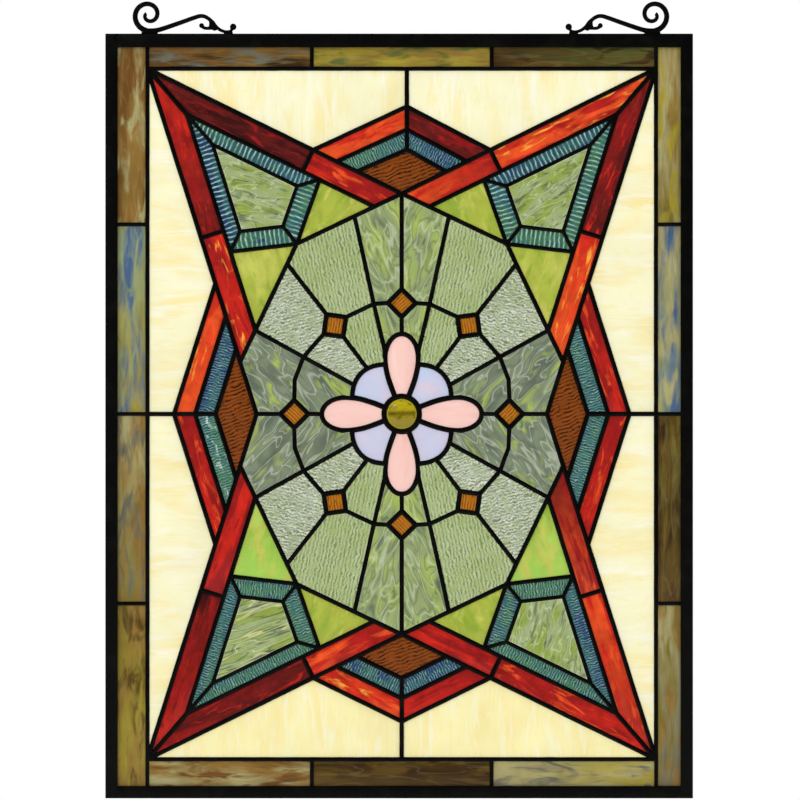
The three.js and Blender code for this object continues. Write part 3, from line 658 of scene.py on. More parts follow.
for place, side_x, side_y in QUARTERS:
    for k, name in enumerate(strip_names):
        after = (k + 1) % 4
        outline = [kite[k], kite[after], kite_middle[after], kite_middle[k]]
        cut_glass(f"kite_strip_{name}_{place}", [f"kite_strips_{place}"],
                  teal_finish if side_y > 0 else grained_finish,
                  mirrored(outline, side_x, side_y),
                  moved((kite[k], kite[after]), side_x, side_y), strip_colours[place][k],
                  KITE_LINE)
    cut_glass(f"kite_pane_{place}", [f"clear_kite_{place}"],
              banded_finish if place == "lower_left" else wavy_finish,
              mirrored(kite_middle, side_x, side_y), ((0, 0), pane_runs[place]),
              (CLEAR, CLEAR, CLEAR_MOSS, CLEAR_DARK_FLECK_AND_SHADE), KITE_LINE, painted_rim_glow=True)

# Green triangles. Eight triangles of wispy yellow-green glass fill the corners between the
# kites, the star arms and the rosette.
LIME = srgb(172, 184, 70)
LEAF = srgb(146, 172, 58)
SPRING = srgb(168, 214, 92)
LEMON = srgb(196, 200, 92)
RUST = srgb(186, 136, 50)
HIGH_RUN = ((0, 0), (30, -60))
green_finish = veined_glass(
    "Green glass", streak=(34, 14, 0.46, 0.6), fleck=(22, 9, 0.55, 0.68), mottle=(14, 0.08),
    veins=(36, 7, 0.007), light=(RUST, 0.45), dark=(LEAF, 0.3), roughness=0.18,
    relief=0.00015,
)
spring_finish = veined_glass(
    "Spring green glass", streak=(34, 14, 0.46, 0.6), fleck=(24, 10, 0.55, 0.68),
    mottle=(14, 0.06), veins=(36, 9, 0.01), light=(LEMON, 0.3), dark=(LEAF, 0.3), roughness=0.18,
    relief=0.00015,
)
for place, side_x, side_y in QUARTERS:
    cut_glass(f"green_high_{place}", [f"green_triangle_high_{place}"], green_finish,
              mirrored([kite_top, top_arm_end, shoulder], side_x, side_y),
              moved(HIGH_RUN, side_x, 1), (LIME, LIME, LEAF, LEMON))
    cut_glass(f"green_low_{place}", [f"green_triangle_low_{place}"],
              green_finish if side_y > 0 else spring_finish,
              mirrored([kite_side, shoulder, side_arm_end], side_x, side_y),
              moved((side_arm_end, kite_side), side_x, side_y),
              (LIME, LIME, LEMON, LEAF) if side_y > 0 else (LEAF, SPRING, LEMON, SPRING))

# Small squares. Eight little squares of striped amber glass stand in a ring: four on the axes
# stand on a corner, and four lean a little.
RING_RADIUS = 86.3
CROSSING_RISE = 2.1
RING_SIDE_RISE = 1.1
SIDE_SQUARE_DROP = 2.6
SQUARE_SIDE = 15.8
SQUARE_ANGLE = 52.9
SQUARE_TILT = 8
FLOWER_LINE = 4.2
HONEY = srgb(178, 108, 22)
TREACLE_FLECK_AND_SHADE = srgb(112, 58, 10)
HONEY_RIM_GLOW = srgb(214, 150, 60)
HONEY_SHINE = srgb(222, 152, 60)


def polar(radius, degrees):
    angle = math.radians(degrees)
    return (radius * math.cos(angle), radius * math.sin(angle))


def square_at(middle, turn):
    corners = [polar(SQUARE_SIDE / math.sqrt(2), turn + 90 * k) for k in range(4)]
    return [(middle[0] + x, middle[1] + y) for x, y in corners]


# The honey glass carries painted light: highlights and shade along its ribs, and a pale glow at
# its rim beside the lead
honey_finish = ribbed_glass(
    "Honey glass", streak=(3, 20, 0.42, 0.6), fleck=(2, 9, 0.55, 0.7), mottle=(6, 0.1),
    ribs=(2.2, 2.5, 1.0), light=(HONEY_SHINE, 0.5), dark=(TREACLE_FLECK_AND_SHADE, 0.7), roughness=0.12,
    relief=0.0003, rim=(HONEY_RIM_GLOW, 0.45),
)
corner_square = square_at(polar(RING_RADIUS, SQUARE_ANGLE), 45 + SQUARE_TILT)
top_square = square_at((0, RING_RADIUS), 0)
side_square = square_at((RING_RADIUS - SIDE_SQUARE_DROP, 0), 0)
square_out, square_top_in, square_in, square_side_in = corner_square
top_square_right, top_square_out, _, top_square_in = top_square
side_square_out, side_square_up, side_square_in, _ = side_square
squares = {
    "top": top_square, "bottom": mirrored(top_square, 1, -1),
    "right": side_square, "left": mirrored(side_square, -1, 1),
}
for place, side_x, side_y in QUARTERS:
    squares[place] = mirrored(corner_square, side_x, side_y)
for place, outline in squares.items():
    cut_glass(f"small_square_{place}", ["rosette_outer_ring"], honey_finish,
              outline, (outline[0], outline[1]), (HONEY, HONEY, HONEY, TREACLE_FLECK_AND_SHADE), FLOWER_LINE,
              painted_rim_glow=True)

# Rosette. Two rings of clear textured glass, sixteen pieces in each: smooth watery pieces
# point up, down and to the sides, and finely rippled pieces lie between them.
TOP_SPOKE_START = 0.45
TOP_SPOKE_ANGLE = 75.8
TOP_SPOKE_END = 75
MIDDLE_SPOKE_START = 0.17
MIDDLE_SPOKE_END = 52.8
SIDE_SPOKE_ANGLE = 30.1
SIDE_SPOKE_END = 31.2
RING_SIDE_ANGLE = 17.7
LAVENDER_RADIUS = 41.8
LAVENDER_SWELL = 3.2
JEWEL_RADIUS = 13.8
PETAL_TIP_GAP = 12.6
PETAL_HALF = 13
PETAL_ROOT_HALF = 5
PETAL_WIDEST_AT = 0.62
RIPPLED = srgb(162, 180, 114)
RIPPLED_PALE = srgb(172, 188, 132)
RIPPLED_SHADE = srgb(106, 120, 86)
RIPPLED_SHINE = srgb(212, 220, 188)
CHOPPY = srgb(160, 172, 134)
CHOPPY_PALE = srgb(176, 186, 158)
CHOPPY_SHADE = srgb(92, 104, 80)
CHOPPY_SHINE = srgb(228, 232, 216)
WATERY = srgb(150, 166, 112)
WATERY_LIME = srgb(166, 184, 92)
WATERY_DEEP_AND_SHADE = srgb(98, 110, 92)
WATERY_SHINE = srgb(216, 224, 206)
SMOKY = srgb(128, 140, 114)
FLANK_STEPS = 8
ARC_STEPS = 12
HALVINGS = 40
CORNER_GAP = 0.4
# The rosette's clear glass carries painted light: highlights and shade along its ripples, and a
# pale glow at its rim beside the lead
rippled_finish = ribbed_glass(
    "Rippled clear glass", streak=(24, 24, 0.42, 0.6), fleck=(12, 12, 0.58, 0.75),
    mottle=(20, 0.04), ribs=(2.8, 5.5, 2.0), light=(RIPPLED_SHINE, 0.45),
    dark=(RIPPLED_SHADE, 0.8), roughness=0.12, relief=0.0004, see_through=1.0,
    rim=(CLEAR_RIM_GLOW, 0.9),
)
choppy_finish = ribbed_glass(
    "Choppy clear glass", streak=(20, 20, 0.42, 0.6), fleck=(10, 5, 0.55, 0.7),
    mottle=(16, 0.05), ribs=(2.5, 9.0, 1.9), light=(CHOPPY_SHINE, 0.85),
    dark=(CHOPPY_SHADE, 0.75), roughness=0.1, relief=0.0006, see_through=1.0,
    rim=(CLEAR_RIM_GLOW, 0.9),
)
watery_finish = veined_glass(
    "Watery clear glass", streak=(34, 12, 0.46, 0.66), fleck=(24, 8, 0.55, 0.7),
    mottle=(12, 0.08), veins=(24, 8, 0.035), light=(WATERY_SHINE, 0.42),
    dark=(WATERY_DEEP_AND_SHADE, 0.6), roughness=0.06, relief=0.0008, see_through=1.0,
    rim=(CLEAR_RIM_GLOW, 0.9), detail=2.0,
)


def petal_flank():
    """The right-hand petal's upper edge, from its root on the jewel to its tip."""
    root_x = math.sqrt(JEWEL_RADIUS ** 2 - PETAL_ROOT_HALF ** 2)
    end = top_square_in[1] - PETAL_TIP_GAP
    widest = JEWEL_RADIUS + (end - JEWEL_RADIUS) * PETAL_WIDEST_AT
    flank = [(root_x, PETAL_ROOT_HALF)]
    for k in range(1, FLANK_STEPS + 1):
        share = k / FLANK_STEPS
        rise = math.sin(share * math.pi / 2)
        flank.append((root_x + (widest - root_x) * share,
                      PETAL_ROOT_HALF + (PETAL_HALF - PETAL_ROOT_HALF) * rise))
    for k in range(1, FLANK_STEPS):
        turn = math.radians(90 * k / FLANK_STEPS)
        flank.append((widest + (end - widest) * math.sin(turn), PETAL_HALF * math.cos(turn)))
    return [*flank, (end, 0.0)]


def on_circle(radius, low, high, step=7.5):
    """Points of a circle's arc, from one angle up to another, without its ends."""
    count = max(1, round((high - low) / step))
    return [polar(radius, low + (high - low) * k / count) for k in range(1, count)]


def lavender_reach(degrees):
    """How far the lavender quarters reach: they swell out between the petals."""
    return LAVENDER_RADIUS - LAVENDER_SWELL * math.cos(math.radians(4 * degrees))


def lavender_arc(low, high):
    turns = [low + (high - low) * k / ARC_STEPS for k in range(1, ARC_STEPS)]
    return [polar(lavender_reach(turn), turn) for turn in turns]


def angle_of(point):
    return math.degrees(math.atan2(point[1], point[0]))


def inside_lavender(point):
    return math.hypot(*point) < lavender_reach(angle_of(point))


flank = petal_flank()
joins = next(k for k in range(len(flank) - 1)
             if inside_lavender(flank[k]) and not inside_lavender(flank[k + 1]))
low, high = flank[joins], flank[joins + 1]
for _ in range(HALVINGS):
    half_way = between(low, high, 0.5)
    if inside_lavender(half_way):
        low = half_way
    else:
        high = half_way
join = half_way
root_flank = flank[:joins + 1] + [join]
tip_flank = [join] + flank[joins + 1:]
join_angle = angle_of(join)
root_angle = angle_of(flank[0])


def turned(point):
    """The same point of the petal that points up, on its right-hand side."""
    return (point[1], point[0])


# The flower's outline in a quarter, from the right-hand petal's tip to the upper one's
quarter_outline = (
    tip_flank[::-1] + lavender_arc(join_angle, 90 - join_angle)
    + [turned(point) for point in tip_flank]
)


def outline_at(degrees):
    """The point where a ray from the heart crosses the flower's outline."""
    for a, b in zip(quarter_outline, quarter_outline[1:]):
        if angle_of(a) <= degrees <= angle_of(b):
            return meet(a, b, (0, 0), polar(1, degrees))
    raise ValueError(degrees)


def outline_between(start, end):
    inside = [point for point in quarter_outline
              if start + CORNER_GAP < angle_of(point) < end - CORNER_GAP]
    return [outline_at(start), *inside, outline_at(end)]


ring_rise = RING_RADIUS + CROSSING_RISE
top_spoke_outer = between(rosette_top, shoulder, TOP_SPOKE_START)
middle_spoke_outer = between(shoulder, hip, MIDDLE_SPOKE_START)
top_crossing = polar(ring_rise, TOP_SPOKE_ANGLE)
side_crossing = polar(ring_rise, SIDE_SPOKE_ANGLE)
ring_side = polar(RING_RADIUS + RING_SIDE_RISE, RING_SIDE_ANGLE)
outer_pieces = {
    "outer_top": [rosette_top, top_square_out, top_square_right, top_crossing, top_spoke_outer],
    "outer_upper": [top_spoke_outer, top_crossing, square_top_in, square_out,
                    middle_spoke_outer, shoulder],
    "outer_lower": [middle_spoke_outer, square_out, square_side_in, side_crossing, side_arm_end],
    "outer_side": [side_arm_end, side_crossing, ring_side, side_square_up, side_square_out,
                   rosette_side, hip],
}
inner_pieces = {
    "inner_top": [top_crossing, top_square_right, top_square_in,
                  *outline_between(TOP_SPOKE_END, 90)[::-1]],
    "inner_upper": [square_in, square_top_in, top_crossing,
                    *outline_between(MIDDLE_SPOKE_END, TOP_SPOKE_END)[::-1]],
    "inner_lower": [side_crossing, square_side_in, square_in,
                    *outline_between(SIDE_SPOKE_END, MIDDLE_SPOKE_END)[::-1]],
    "inner_side": [side_square_in, side_square_up, ring_side, side_crossing,
                   *outline_between(0, SIDE_SPOKE_END)[::-1]],
}
piece_looks = {
    "top": (watery_finish, (20, 60), (WATERY, WATERY, WATERY_LIME, WATERY_DEEP_AND_SHADE)),
    "side": (watery_finish, (34, 44), (SMOKY, SMOKY, WATERY_DEEP_AND_SHADE, WATERY_LIME)),
    "upper": (rippled_finish, (60, -12), (RIPPLED, RIPPLED, RIPPLED_PALE, RIPPLED_PALE)),
    "lower": (choppy_finish, (16, 60), (CHOPPY, CHOPPY, CHOPPY_PALE, RIPPLED)),
}
for place, side_x, side_y in QUARTERS:
    for ring, pieces in (("outer", outer_pieces), ("inner", inner_pieces)):
        for name, outline in pieces.items():
            finish, run_end, colours = piece_looks[name.split("_")[1]]
            cut_glass(f"rosette_{name}_{place}", [f"rosette_{ring}_ring"], finish,
                      mirrored(outline, side_x, side_y), moved(((0, 0), run_end), side_x, side_y),
                      colours, painted_rim_glow=True)

# Flower. Four petals of pale pink glass and four quarters of lavender glass stand round the
# jewel. Their lead lines are the widest of the panel.
PINK = srgb(253, 208, 198)
PINK_DEEP = srgb(250, 196, 188)
PINK_PALE = srgb(254, 218, 206)
LAVENDER = srgb(206, 206, 230)
SKY = srgb(196, 214, 242)
ROSE = srgb(222, 206, 222)
petal_finish = veined_glass(
    "Petal glass", streak=(40, 9, 0.5, 0.75), fleck=(30, 9, 0.55, 0.75), mottle=(20, 0.015),
    veins=(60, 9, 0.02), light=(PINK_PALE, 0.3), dark=(PINK_DEEP, 0.2), roughness=0.2,
    relief=0.0001,
)
lavender_finish = veined_glass(
    "Lavender glass", streak=(40, 22, 0.4, 0.62), fleck=(30, 14, 0.5, 0.7), mottle=(24, 0.02),
    veins=(60, 14, 0.03), light=(SKY, 0.25), dark=(ROSE, 0.2), roughness=0.2, relief=0.0001,
)
root_arc = on_circle(JEWEL_RADIUS, -root_angle, root_angle)
petal_right = (
    [down(point) for point in root_flank] + [down(point) for point in tip_flank[1:]]
    + tip_flank[-2::-1] + root_flank[-2::-1] + root_arc[::-1]
)
petals = {
    "right": petal_right,
    "top": [(-y, x) for x, y in petal_right],
    "left": [(-x, -y) for x, y in petal_right],
    "bottom": [(y, -x) for x, y in petal_right],
}
petal_ends = {"right": (60, 0), "top": (0, 60), "left": (-60, 0), "bottom": (0, -60)}
for place, outline in petals.items():
    cut_glass(f"petal_piece_{place}", [f"petal_{place}"], petal_finish, outline,
              ((0, 0), petal_ends[place]), (PINK, PINK, PINK_DEEP, PINK_PALE), FLOWER_LINE)
lavender_quarter = (
    root_flank + lavender_arc(join_angle, 90 - join_angle)
    + [turned(point) for point in root_flank[::-1]]
    + on_circle(JEWEL_RADIUS, root_angle, 90 - root_angle)[::-1]
)
for place, side_x, side_y in QUARTERS:
    cut_glass(f"lavender_piece_{place}", [f"lavender_{place}"], lavender_finish,
              mirrored(lavender_quarter, side_x, side_y),
              ((0, 0), (40 * side_x, 24)), (LAVENDER, SKY, LAVENDER, ROSE), FLOWER_LINE)

# Jewel. One round pressed jewel of amber-yellow glass, domed in front and flat behind.
JEWEL_DOME = 6
JEWEL_BACK = -1.5
JEWEL_LAP = 0.3
JEWEL_CHAMFER = 0.6
JEWEL_GIRDLE_TOP = 1.2
JEWEL_INSET = 0.2
JEWEL_SPREAD = (120, 0, 330)
JEWEL_RIM_GLOW_SPAN = (1.7, 0.9)
# Heights about the heart, in metres, of the painted shade band's soft edges, and of the fade from
# olive below to the painted glow above
JEWEL_SHADE_BAND = (-0.0022, 0.0002, 0.0008, 0.0036)
JEWEL_FADE = (-0.004, 0.006)
JEWEL_GLOW = srgb(186, 168, 16)
JEWEL_OLIVE = srgb(148, 130, 6)
JEWEL_SMOKE_AND_SHADE = srgb(84, 68, 4)
JEWEL_RIM_GLOW = srgb(190, 176, 44)
jewel_edge = []
for k in range(4):
    start = root_angle + 90 * k
    jewel_edge += [polar(JEWEL_RADIUS, start - 2 * root_angle),
                   *on_circle(JEWEL_RADIUS, start - 2 * root_angle, start),
                   polar(JEWEL_RADIUS, start),
                   *on_circle(JEWEL_RADIUS, start, start + 90 - 2 * root_angle)]
cells.append((jewel_edge, FLOWER_LINE))
girdle = JEWEL_RADIUS - FLOWER_LINE / 2 + JEWEL_LAP
profile = [(0, JEWEL_BACK), (girdle - JEWEL_CHAMFER, JEWEL_BACK),
           (girdle, JEWEL_BACK + JEWEL_CHAMFER), (girdle, JEWEL_GIRDLE_TOP)]
for degrees in range(10, 100, 10):
    turn = math.radians(degrees)
    profile.append(((girdle - JEWEL_INSET) * math.cos(turn),
                    JEWEL_GIRDLE_TOP + (JEWEL_DOME - JEWEL_GIRDLE_TOP) * math.sin(turn)))
bm = bmesh.new()
wall = [bm.verts.new((x, 0, z)) for x, z in profile]
sides = [bm.edges.new(pair) for pair in zip(wall, wall[1:])]
bmesh.ops.spin(bm, geom=wall + sides, cent=(0, 0, 0), axis=(0, 0, 1), angle=math.tau, steps=64,
               use_merge=True, use_duplicate=False)
bmesh.ops.remove_doubles(bm, verts=bm.verts[:], dist=0.001)
bmesh.ops.recalc_face_normals(bm, faces=bm.faces[:])
bm.transform(stand)
jewel_finish, tree, shader = new_material("Jewel glass", Roughness=0.06)
place = add(tree, "ShaderNodeTexCoord").outputs["Object"]
heart = add(tree, "ShaderNodeVectorMath", {
    0: place, 1: (middle_x * MM, 0, middle_z * MM),
}, operation="SUBTRACT").outputs["Vector"]
spread = add(tree, "ShaderNodeMapping", {"Vector": heart, "Scale": JEWEL_SPREAD})
bubbles = noise_at(tree, spread.outputs["Vector"], distortion=0.8)
flat = add(tree, "ShaderNodeVectorMath", {0: heart, 1: (1, 0, 1)}, operation="MULTIPLY")
reach = add(tree, "ShaderNodeVectorMath", {0: flat.outputs["Vector"]}, operation="LENGTH")
height = add(tree, "ShaderNodeSeparateXYZ", {"Vector": heart}).outputs["Z"]
# Painted light: a band of shade across the middle, and the jewel lighter towards the top; the
# bubbles are the glass's own smoke
below, dark_low, dark_high, above = JEWEL_SHADE_BAND
band = maths(tree, "MULTIPLY", ranged(tree, height, below, dark_low),
             ranged(tree, height, above, dark_high))
glow = mixed(tree, ranged(tree, height, *JEWEL_FADE), JEWEL_OLIVE, JEWEL_GLOW)
smoky = mixed(tree, ranged(tree, bubbles, 0.5, 0.66, 0, 0.7), glow, JEWEL_SMOKE_AND_SHADE)
banded = mixed(tree, ranged(tree, band, 0.1, 1, 0, 0.8), smoky, JEWEL_SMOKE_AND_SHADE)
# A pale glow is painted round the rim of the dome
within, outside = ((girdle - depth) * MM for depth in JEWEL_RIM_GLOW_SPAN)
edge = ranged(tree, reach.outputs["Value"], within, outside, 0, 0.8)
tree.links.new(mixed(tree, edge, banded, JEWEL_RIM_GLOW), shader.inputs["Base Color"])
finished("jewel_piece", bm, jewel_finish, ["jewel"], crease=50)

# Lead web. One web of tin solder over copper foil holds all the glass, with a rounded bead on
# each face and a low lump where lines join. It is darkened with black patina.
BEAD_RISE = 1.25
BEAD_EDGE = 1.55
BEAD_PROFILE = ((0.45, 0.89), (0.8, 0.6), (1.0, 0.0))
JOINT_LUMP = 0.22
WAVINESS = 0.16
SWAY_SEED = 5
SOLDER_STEP = 9
SWAY_PER_MM = 0.12
STILL_BORDER = 12
NEAR_SIDE = 0.02
NEAR_END = 0.05
WELD = 0.03
SOLDER_WORN = (0.0045, 0.0044, 0.0036, 1)


def on_side(point, a, b):
    """How far along the side from a to b a point lies, or None where it is off the side."""
    length = math.hypot(b[0] - a[0], b[1] - a[1])
    ux, uy = (b[0] - a[0]) / length, (b[1] - a[1]) / length
    px, py = point[0] - a[0], point[1] - a[1]
    along = px * ux + py * uy
    off = abs(px * uy - py * ux)
    return along if off < NEAR_SIDE and NEAR_END < along < length - NEAR_END else None


corners = {(round(x, 2), round(y, 2)): (x, y) for outline, _ in cells for x, y in outline}
bm = bmesh.new()
width_of = bm.faces.layers.float.new("line")
for outline, line in cells:
    points = []
    for a, b in zip(outline, outline[1:] + outline[:1]):
        found = {round(along, 1): point for point in corners.values()
                 if (along := on_side(point, a, b)) is not None}
        points += [a, *(found[along] for along in sorted(found))]
    cell = bm.faces.new([bm.verts.new((x, y, BEAD_EDGE + BEAD_RISE)) for x, y in points])
    cell[width_of] = line
bmesh.ops.remove_doubles(bm, verts=bm.verts[:], dist=WELD)
for vert in bm.verts:
    if len(vert.link_edges) > 2:
        vert.co.z += JOINT_LUMP
windows = bm.faces[:]
done, level = 0.0, 1.0
for share, rise in BEAD_PROFILE:
    for line in (BORDER_LINE, PATTERN_LINE, FLOWER_LINE):
        bmesh.ops.inset_individual(
            bm, faces=[f for f in windows if abs(f[width_of] - line) < 0.01],
            thickness=(share - done) * line / 2, depth=(rise - level) * BEAD_RISE,
            use_even_offset=True,
        )
    done, level = share, rise
bmesh.ops.delete(bm, geom=windows, context="FACES_ONLY")
rims = [e for e in bm.edges if e.is_boundary]
wall = bmesh.ops.extrude_edge_only(bm, edges=rims)["geom"]
bmesh.ops.scale(bm, vec=(1, 1, 0), verts=[part for part in wall if isinstance(part, BMVert)])
bmesh.ops.mirror(bm, geom=bm.verts[:] + bm.edges[:] + bm.faces[:], axis="Z", merge_dist=0.001)
for _ in range(4):
    long = [e for e in bm.edges if e.calc_length() > SOLDER_STEP]
    bmesh.ops.subdivide_edges(bm, edges=long, cuts=1, use_grid_fill=True)
for point, outward in (
    ((lip_left - middle_x, 0, 0), (-1, 0, 0)), ((lip_right - middle_x, 0, 0), (1, 0, 0)),
    ((0, lip_top - middle_z, 0), (0, 1, 0)), ((0, lip_bottom - middle_z, 0), (0, -1, 0)),
):
    bmesh.ops.bisect_plane(bm, geom=bm.verts[:] + bm.edges[:] + bm.faces[:], dist=0.001,
                           plane_co=point, plane_no=outward, clear_outer=True)
bmesh.ops.holes_fill(bm, edges=[e for e in bm.edges if e.is_boundary], sides=0)
noise.seed_set(SWAY_SEED)
for vert in bm.verts:
    if abs(vert.co.x) <= half_x + STILL_BORDER and abs(vert.co.y) <= half_y + STILL_BORDER:
        sway = noise.noise_vector(vert.co * SWAY_PER_MM)
        vert.co += Vector((sway.x, sway.y, sway.z * 0.5)) * WAVINESS
bmesh.ops.recalc_face_normals(bm, faces=bm.faces[:])
bm.transform(stand)
solder = black_finish("Solder", BLACK, SOLDER_WORN, 0.002, 0.0002, 0.34)
finished("solder_web", bm, solder, ["lead_web"], crease=60)

# Hangers. Two cast scroll hangers stand on the top rail, painted black: a spiral scroll that
# takes the hook, and an arm with a curl and a leaf that runs inwards to a second foot.
LEFT_INSET = 34.1
RIGHT_INSET = 31.3
SCROLL_OFFSET = -0.6
SCROLL_HEIGHT = 14.9
SCROLL_RADIUS = 10.5
SCROLL_PITCH = 7.7
SCROLL_START = 262
SCROLL_TURN = 475
SCROLL_WIRE = 4.4
SCROLL_TIP = 2.8
ARM_SPAN = 61.5
ARM_RISE = 14.1
ARM_WIRE = 4
ARM_TIP = 2.1
CURL_WIRE = 2.6
CURL_BALL = 2
ARM_BALL = 2.6
LEAF_THICKNESS = 3
FOOT_THICKNESS = 4.4
FOOT_WIDTH = 13
FOOT_HEIGHT = 4.4
INNER_FOOT_WIDTH = 7.4
INNER_FOOT_HEIGHT = 2.6
FOOT_TOP_SHARE = 0.8
LEAF_ROUNDING = 0.7
FOOT_ROUNDING = 0.5
SCROLL_STEPS = 96
ARM_STEPS = 60
CURL_STEPS = 20
CASTING_GRAIN = 0.00035


def smooth_path(points, count):
    """A curve through points, as a row of even steps."""
    path = []
    for k in range(count + 1):
        share = k / count * (len(points) - 1)
        index = min(int(share), len(points) - 2)
        t = share - index
        p = [Vector(points[min(max(index + j, 0), len(points) - 1)]) for j in (-1, 0, 1, 2)]
        path.append(0.5 * (2 * p[1] + (p[2] - p[0]) * t
                           + (2 * p[0] - 5 * p[1] + 4 * p[2] - p[3]) * t * t
                           + (3 * p[1] - p[0] - 3 * p[2] + p[3]) * t ** 3))
    return path


def sweep(bm, path, radii, sides=16):
    """A round wire along a flat path, with a radius at each of its points."""
    frames = []
    for k, (point, radius) in enumerate(zip(path, radii)):
        way = (path[min(k + 1, len(path) - 1)] - path[max(k - 1, 0)]).normalized()
        turn = Matrix(((0, way.y, way.x), (0, -way.x, way.y), (1, 0, 0))).to_4x4()
        frames.append(Matrix.Translation((point.x, point.y, 0)) @ turn
                      @ Matrix.Scale(radius, 4))
    ring = bmesh.ops.create_circle(bm, segments=sides, radius=1, cap_ends=False)["verts"]
    edges = list({e for v in ring for e in v.link_edges})
    bmesh.ops.transform(bm, matrix=frames[0], verts=ring)
    caps = [list(edges)]
    for last, after in zip(frames, frames[1:]):
        made = bmesh.ops.extrude_edge_only(bm, edges=edges)["geom"]
        edges = [part for part in made if isinstance(part, BMEdge)]
        ring = [part for part in made if isinstance(part, BMVert)]
        bmesh.ops.transform(bm, matrix=after @ last.inverted(), verts=ring)
    caps.append(edges)
    for cap in caps:
        bmesh.ops.contextual_create(bm, geom=cap)


def slab(bm, outline, thickness, rounding):
    """A flat body with a rounded rim, cut to an outline."""
    face = bm.faces.new([bm.verts.new((x, y, -thickness / 2)) for x, y in outline])
    verts = thickened(bm, face, thickness)
    rounded(bm, list({e for v in [*verts, *face.verts] for e in v.link_edges}), rounding)


def hanger(side):
    bm = bmesh.new()
    scroll, scroll_radii = [], []
    for k in range(SCROLL_STEPS + 1):
        share = k / SCROLL_STEPS
        degrees = SCROLL_START - SCROLL_TURN * share
        x, y = polar(SCROLL_RADIUS + SCROLL_PITCH * (degrees - 180) / 360, degrees)
        scroll.append(Vector((SCROLL_OFFSET + x, SCROLL_HEIGHT + y)))
        scroll_radii.append((SCROLL_WIRE + (SCROLL_TIP - SCROLL_WIRE) * share) / 2)
    sweep(bm, scroll, scroll_radii)

    def placed(points):
        return [(x * ARM_SPAN, y * ARM_RISE) for x, y in points]

    arm_points = placed([
        (0.05, 0.19), (0.14, 0.26), (0.39, 0.63), (0.57, 0.91), (0.65, 1), (0.72, 0.93),
        (0.8, 0.66), (0.84, 0.43), (0.9, 0.22), (0.97, 0.13), (1.03, 0.18), (1.06, 0.4),
    ])
    curl_points = placed([(0.8, 0.33), (0.72, 0.32), (0.68, 0.37), (0.66, 0.47)])
    leaf_points = placed([
        (0.73, 0.88), (0.785, 0.74), (0.835, 0.46), (0.875, 0.27), (0.82, 0.17), (0.79, 0.25),
        (0.745, 0.31), (0.755, 0.51), (0.755, 0.69),
    ])
    arm = smooth_path(arm_points, ARM_STEPS)
    sweep(bm, arm, [(ARM_WIRE + (ARM_TIP - ARM_WIRE) * k / ARM_STEPS) / 2
                    for k in range(ARM_STEPS + 1)])
    curl = smooth_path(curl_points, CURL_STEPS)
    sweep(bm, curl, [CURL_WIRE / 2] * len(curl))
    for (x, y), radius in ((arm_points[-1], ARM_BALL), (curl_points[-1], CURL_BALL)):
        bmesh.ops.create_uvsphere(bm, u_segments=24, v_segments=16, radius=radius,
                                  matrix=Matrix.Translation((x, y, 0)))
    slab(bm, leaf_points[::-1], LEAF_THICKNESS, LEAF_ROUNDING)
    for middle, width, height in ((0, FOOT_WIDTH, FOOT_HEIGHT),
                                  (ARM_SPAN, INNER_FOOT_WIDTH, INNER_FOOT_HEIGHT)):
        top = width / 2 * FOOT_TOP_SHARE
        slab(bm, [(middle - width / 2, 0), (middle + width / 2, 0),
                  (middle + top, height), (middle - top, height)], FOOT_THICKNESS, FOOT_ROUNDING)
    bmesh.ops.scale(bm, vec=(side, 1, 1), verts=bm.verts[:])
    bmesh.ops.recalc_face_normals(bm, faces=bm.faces[:])
    return bm


casting = black_finish("Casting paint", BLACK, PAINT_WORN, 0.0009, 0.00012, 0.45)
left_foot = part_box("frame_left_stile")[0].x + LEFT_INSET * MM
right_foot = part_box("frame_right_stile")[1].x - RIGHT_INSET * MM
for name, side, foot_x in (("left", 1, left_foot), ("right", -1, right_foot)):
    bm = hanger(side)
    bm.transform(Matrix.Translation((foot_x, 0, 0))
                 @ Matrix.Rotation(math.pi / 2, 4, "X") @ Matrix.Scale(MM, 4))
    piece = finished(f"scroll_hanger_{name}", bm, casting, [f"hanger_{name}"])
    fuse = piece.modifiers.new("Fuse", "REMESH")
    fuse.mode = "VOXEL"
    fuse.voxel_size = CASTING_GRAIN
    fuse.use_smooth_shade = True
    soften = piece.modifiers.new("Soften", "SMOOTH")
    soften.iterations = 3

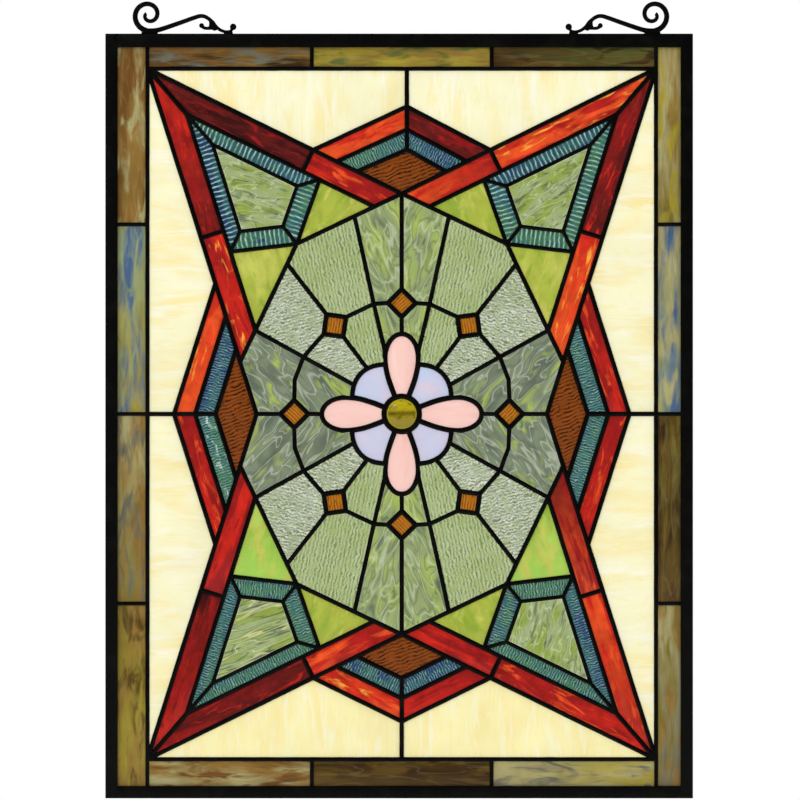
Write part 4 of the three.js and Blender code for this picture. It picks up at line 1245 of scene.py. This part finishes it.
# Camera. It looks square on at the middle of the photograph, from three metres away.
CAMERA_AWAY = 3.0
PHOTO_WIDTH = 0.62328
PHOTO_MIDDLE_X = 0.00066
PHOTO_MIDDLE_Z = -0.28507
SENSOR_WIDTH = 36
camera_data = bpy.data.cameras.new("Camera")
camera_data.sensor_width = SENSOR_WIDTH
camera_data.lens = SENSOR_WIDTH * CAMERA_AWAY / PHOTO_WIDTH
camera = bpy.data.objects.new("Camera", camera_data)
camera.location = (PHOTO_MIDDLE_X, -CAMERA_AWAY, PHOTO_MIDDLE_Z)
camera.rotation_euler = (math.pi / 2, 0, 0)
bpy.context.scene.collection.objects.link(camera)
bpy.context.scene.camera = camera

# Light. A bright white studio all round, with a large soft lamp in front and one behind.
GLOSS_LEVEL = 0.15
LAMP_POWER = 5
LAMP_SIZE = 0.9
LAMP_PLACES = {"Front lamp": (-1.3, -1.6, 0.9), "Back lamp": (1.2, 1.6, 0.6)}
LAMP_AIM = (0, 0, -0.3)
world = bpy.data.worlds.new("Studio")
bpy.context.scene.world = world
world.use_nodes = True
tree = world.node_tree
ray = add(tree, "ShaderNodeLightPath")
mirror_ray = maths(tree, "SUBTRACT", ray.outputs["Is Glossy Ray"],
                   ray.outputs["Is Transmission Ray"], clamp=True)
level = ranged(tree, mirror_ray, 0, 1, 1.0, GLOSS_LEVEL)
backdrop = tree.nodes["Background"]
backdrop.inputs["Color"].default_value = (1, 1, 1, 1)
tree.links.new(level, backdrop.inputs["Strength"])
for name, place in LAMP_PLACES.items():
    lamp_data = bpy.data.lights.new(name, "AREA")
    lamp_data.energy = LAMP_POWER
    lamp_data.size = LAMP_SIZE
    lamp = bpy.data.objects.new(name, lamp_data)
    lamp.location = place
    aim = Vector(LAMP_AIM) - lamp.location
    lamp.rotation_euler = aim.to_track_quat("-Z", "Y").to_euler()
    bpy.context.scene.collection.objects.link(lamp)
bpy.context.scene.view_settings.view_transform = "Standard"

# Floor. A plain pale studio floor lies well below the hanging panel.
FLOOR_REACH = 1.8
FLOOR_HEIGHT = -0.8
FLOOR_PALE = (0.85, 0.85, 0.84, 1)
bm = bmesh.new()
bmesh.ops.create_grid(bm, x_segments=1, y_segments=1, size=FLOOR_REACH,
                      matrix=Matrix.Translation((0, 0, FLOOR_HEIGHT)))
floor_mesh = bpy.data.meshes.new("Floor")
bm.to_mesh(floor_mesh)
bm.free()
floor_finish, *_ = new_material("Floor", Roughness=0.9, Base_Color=FLOOR_PALE)
floor_mesh.materials.append(floor_finish)
floor = bpy.data.objects.new("Floor", floor_mesh)
bpy.context.scene.collection.objects.link(floor)
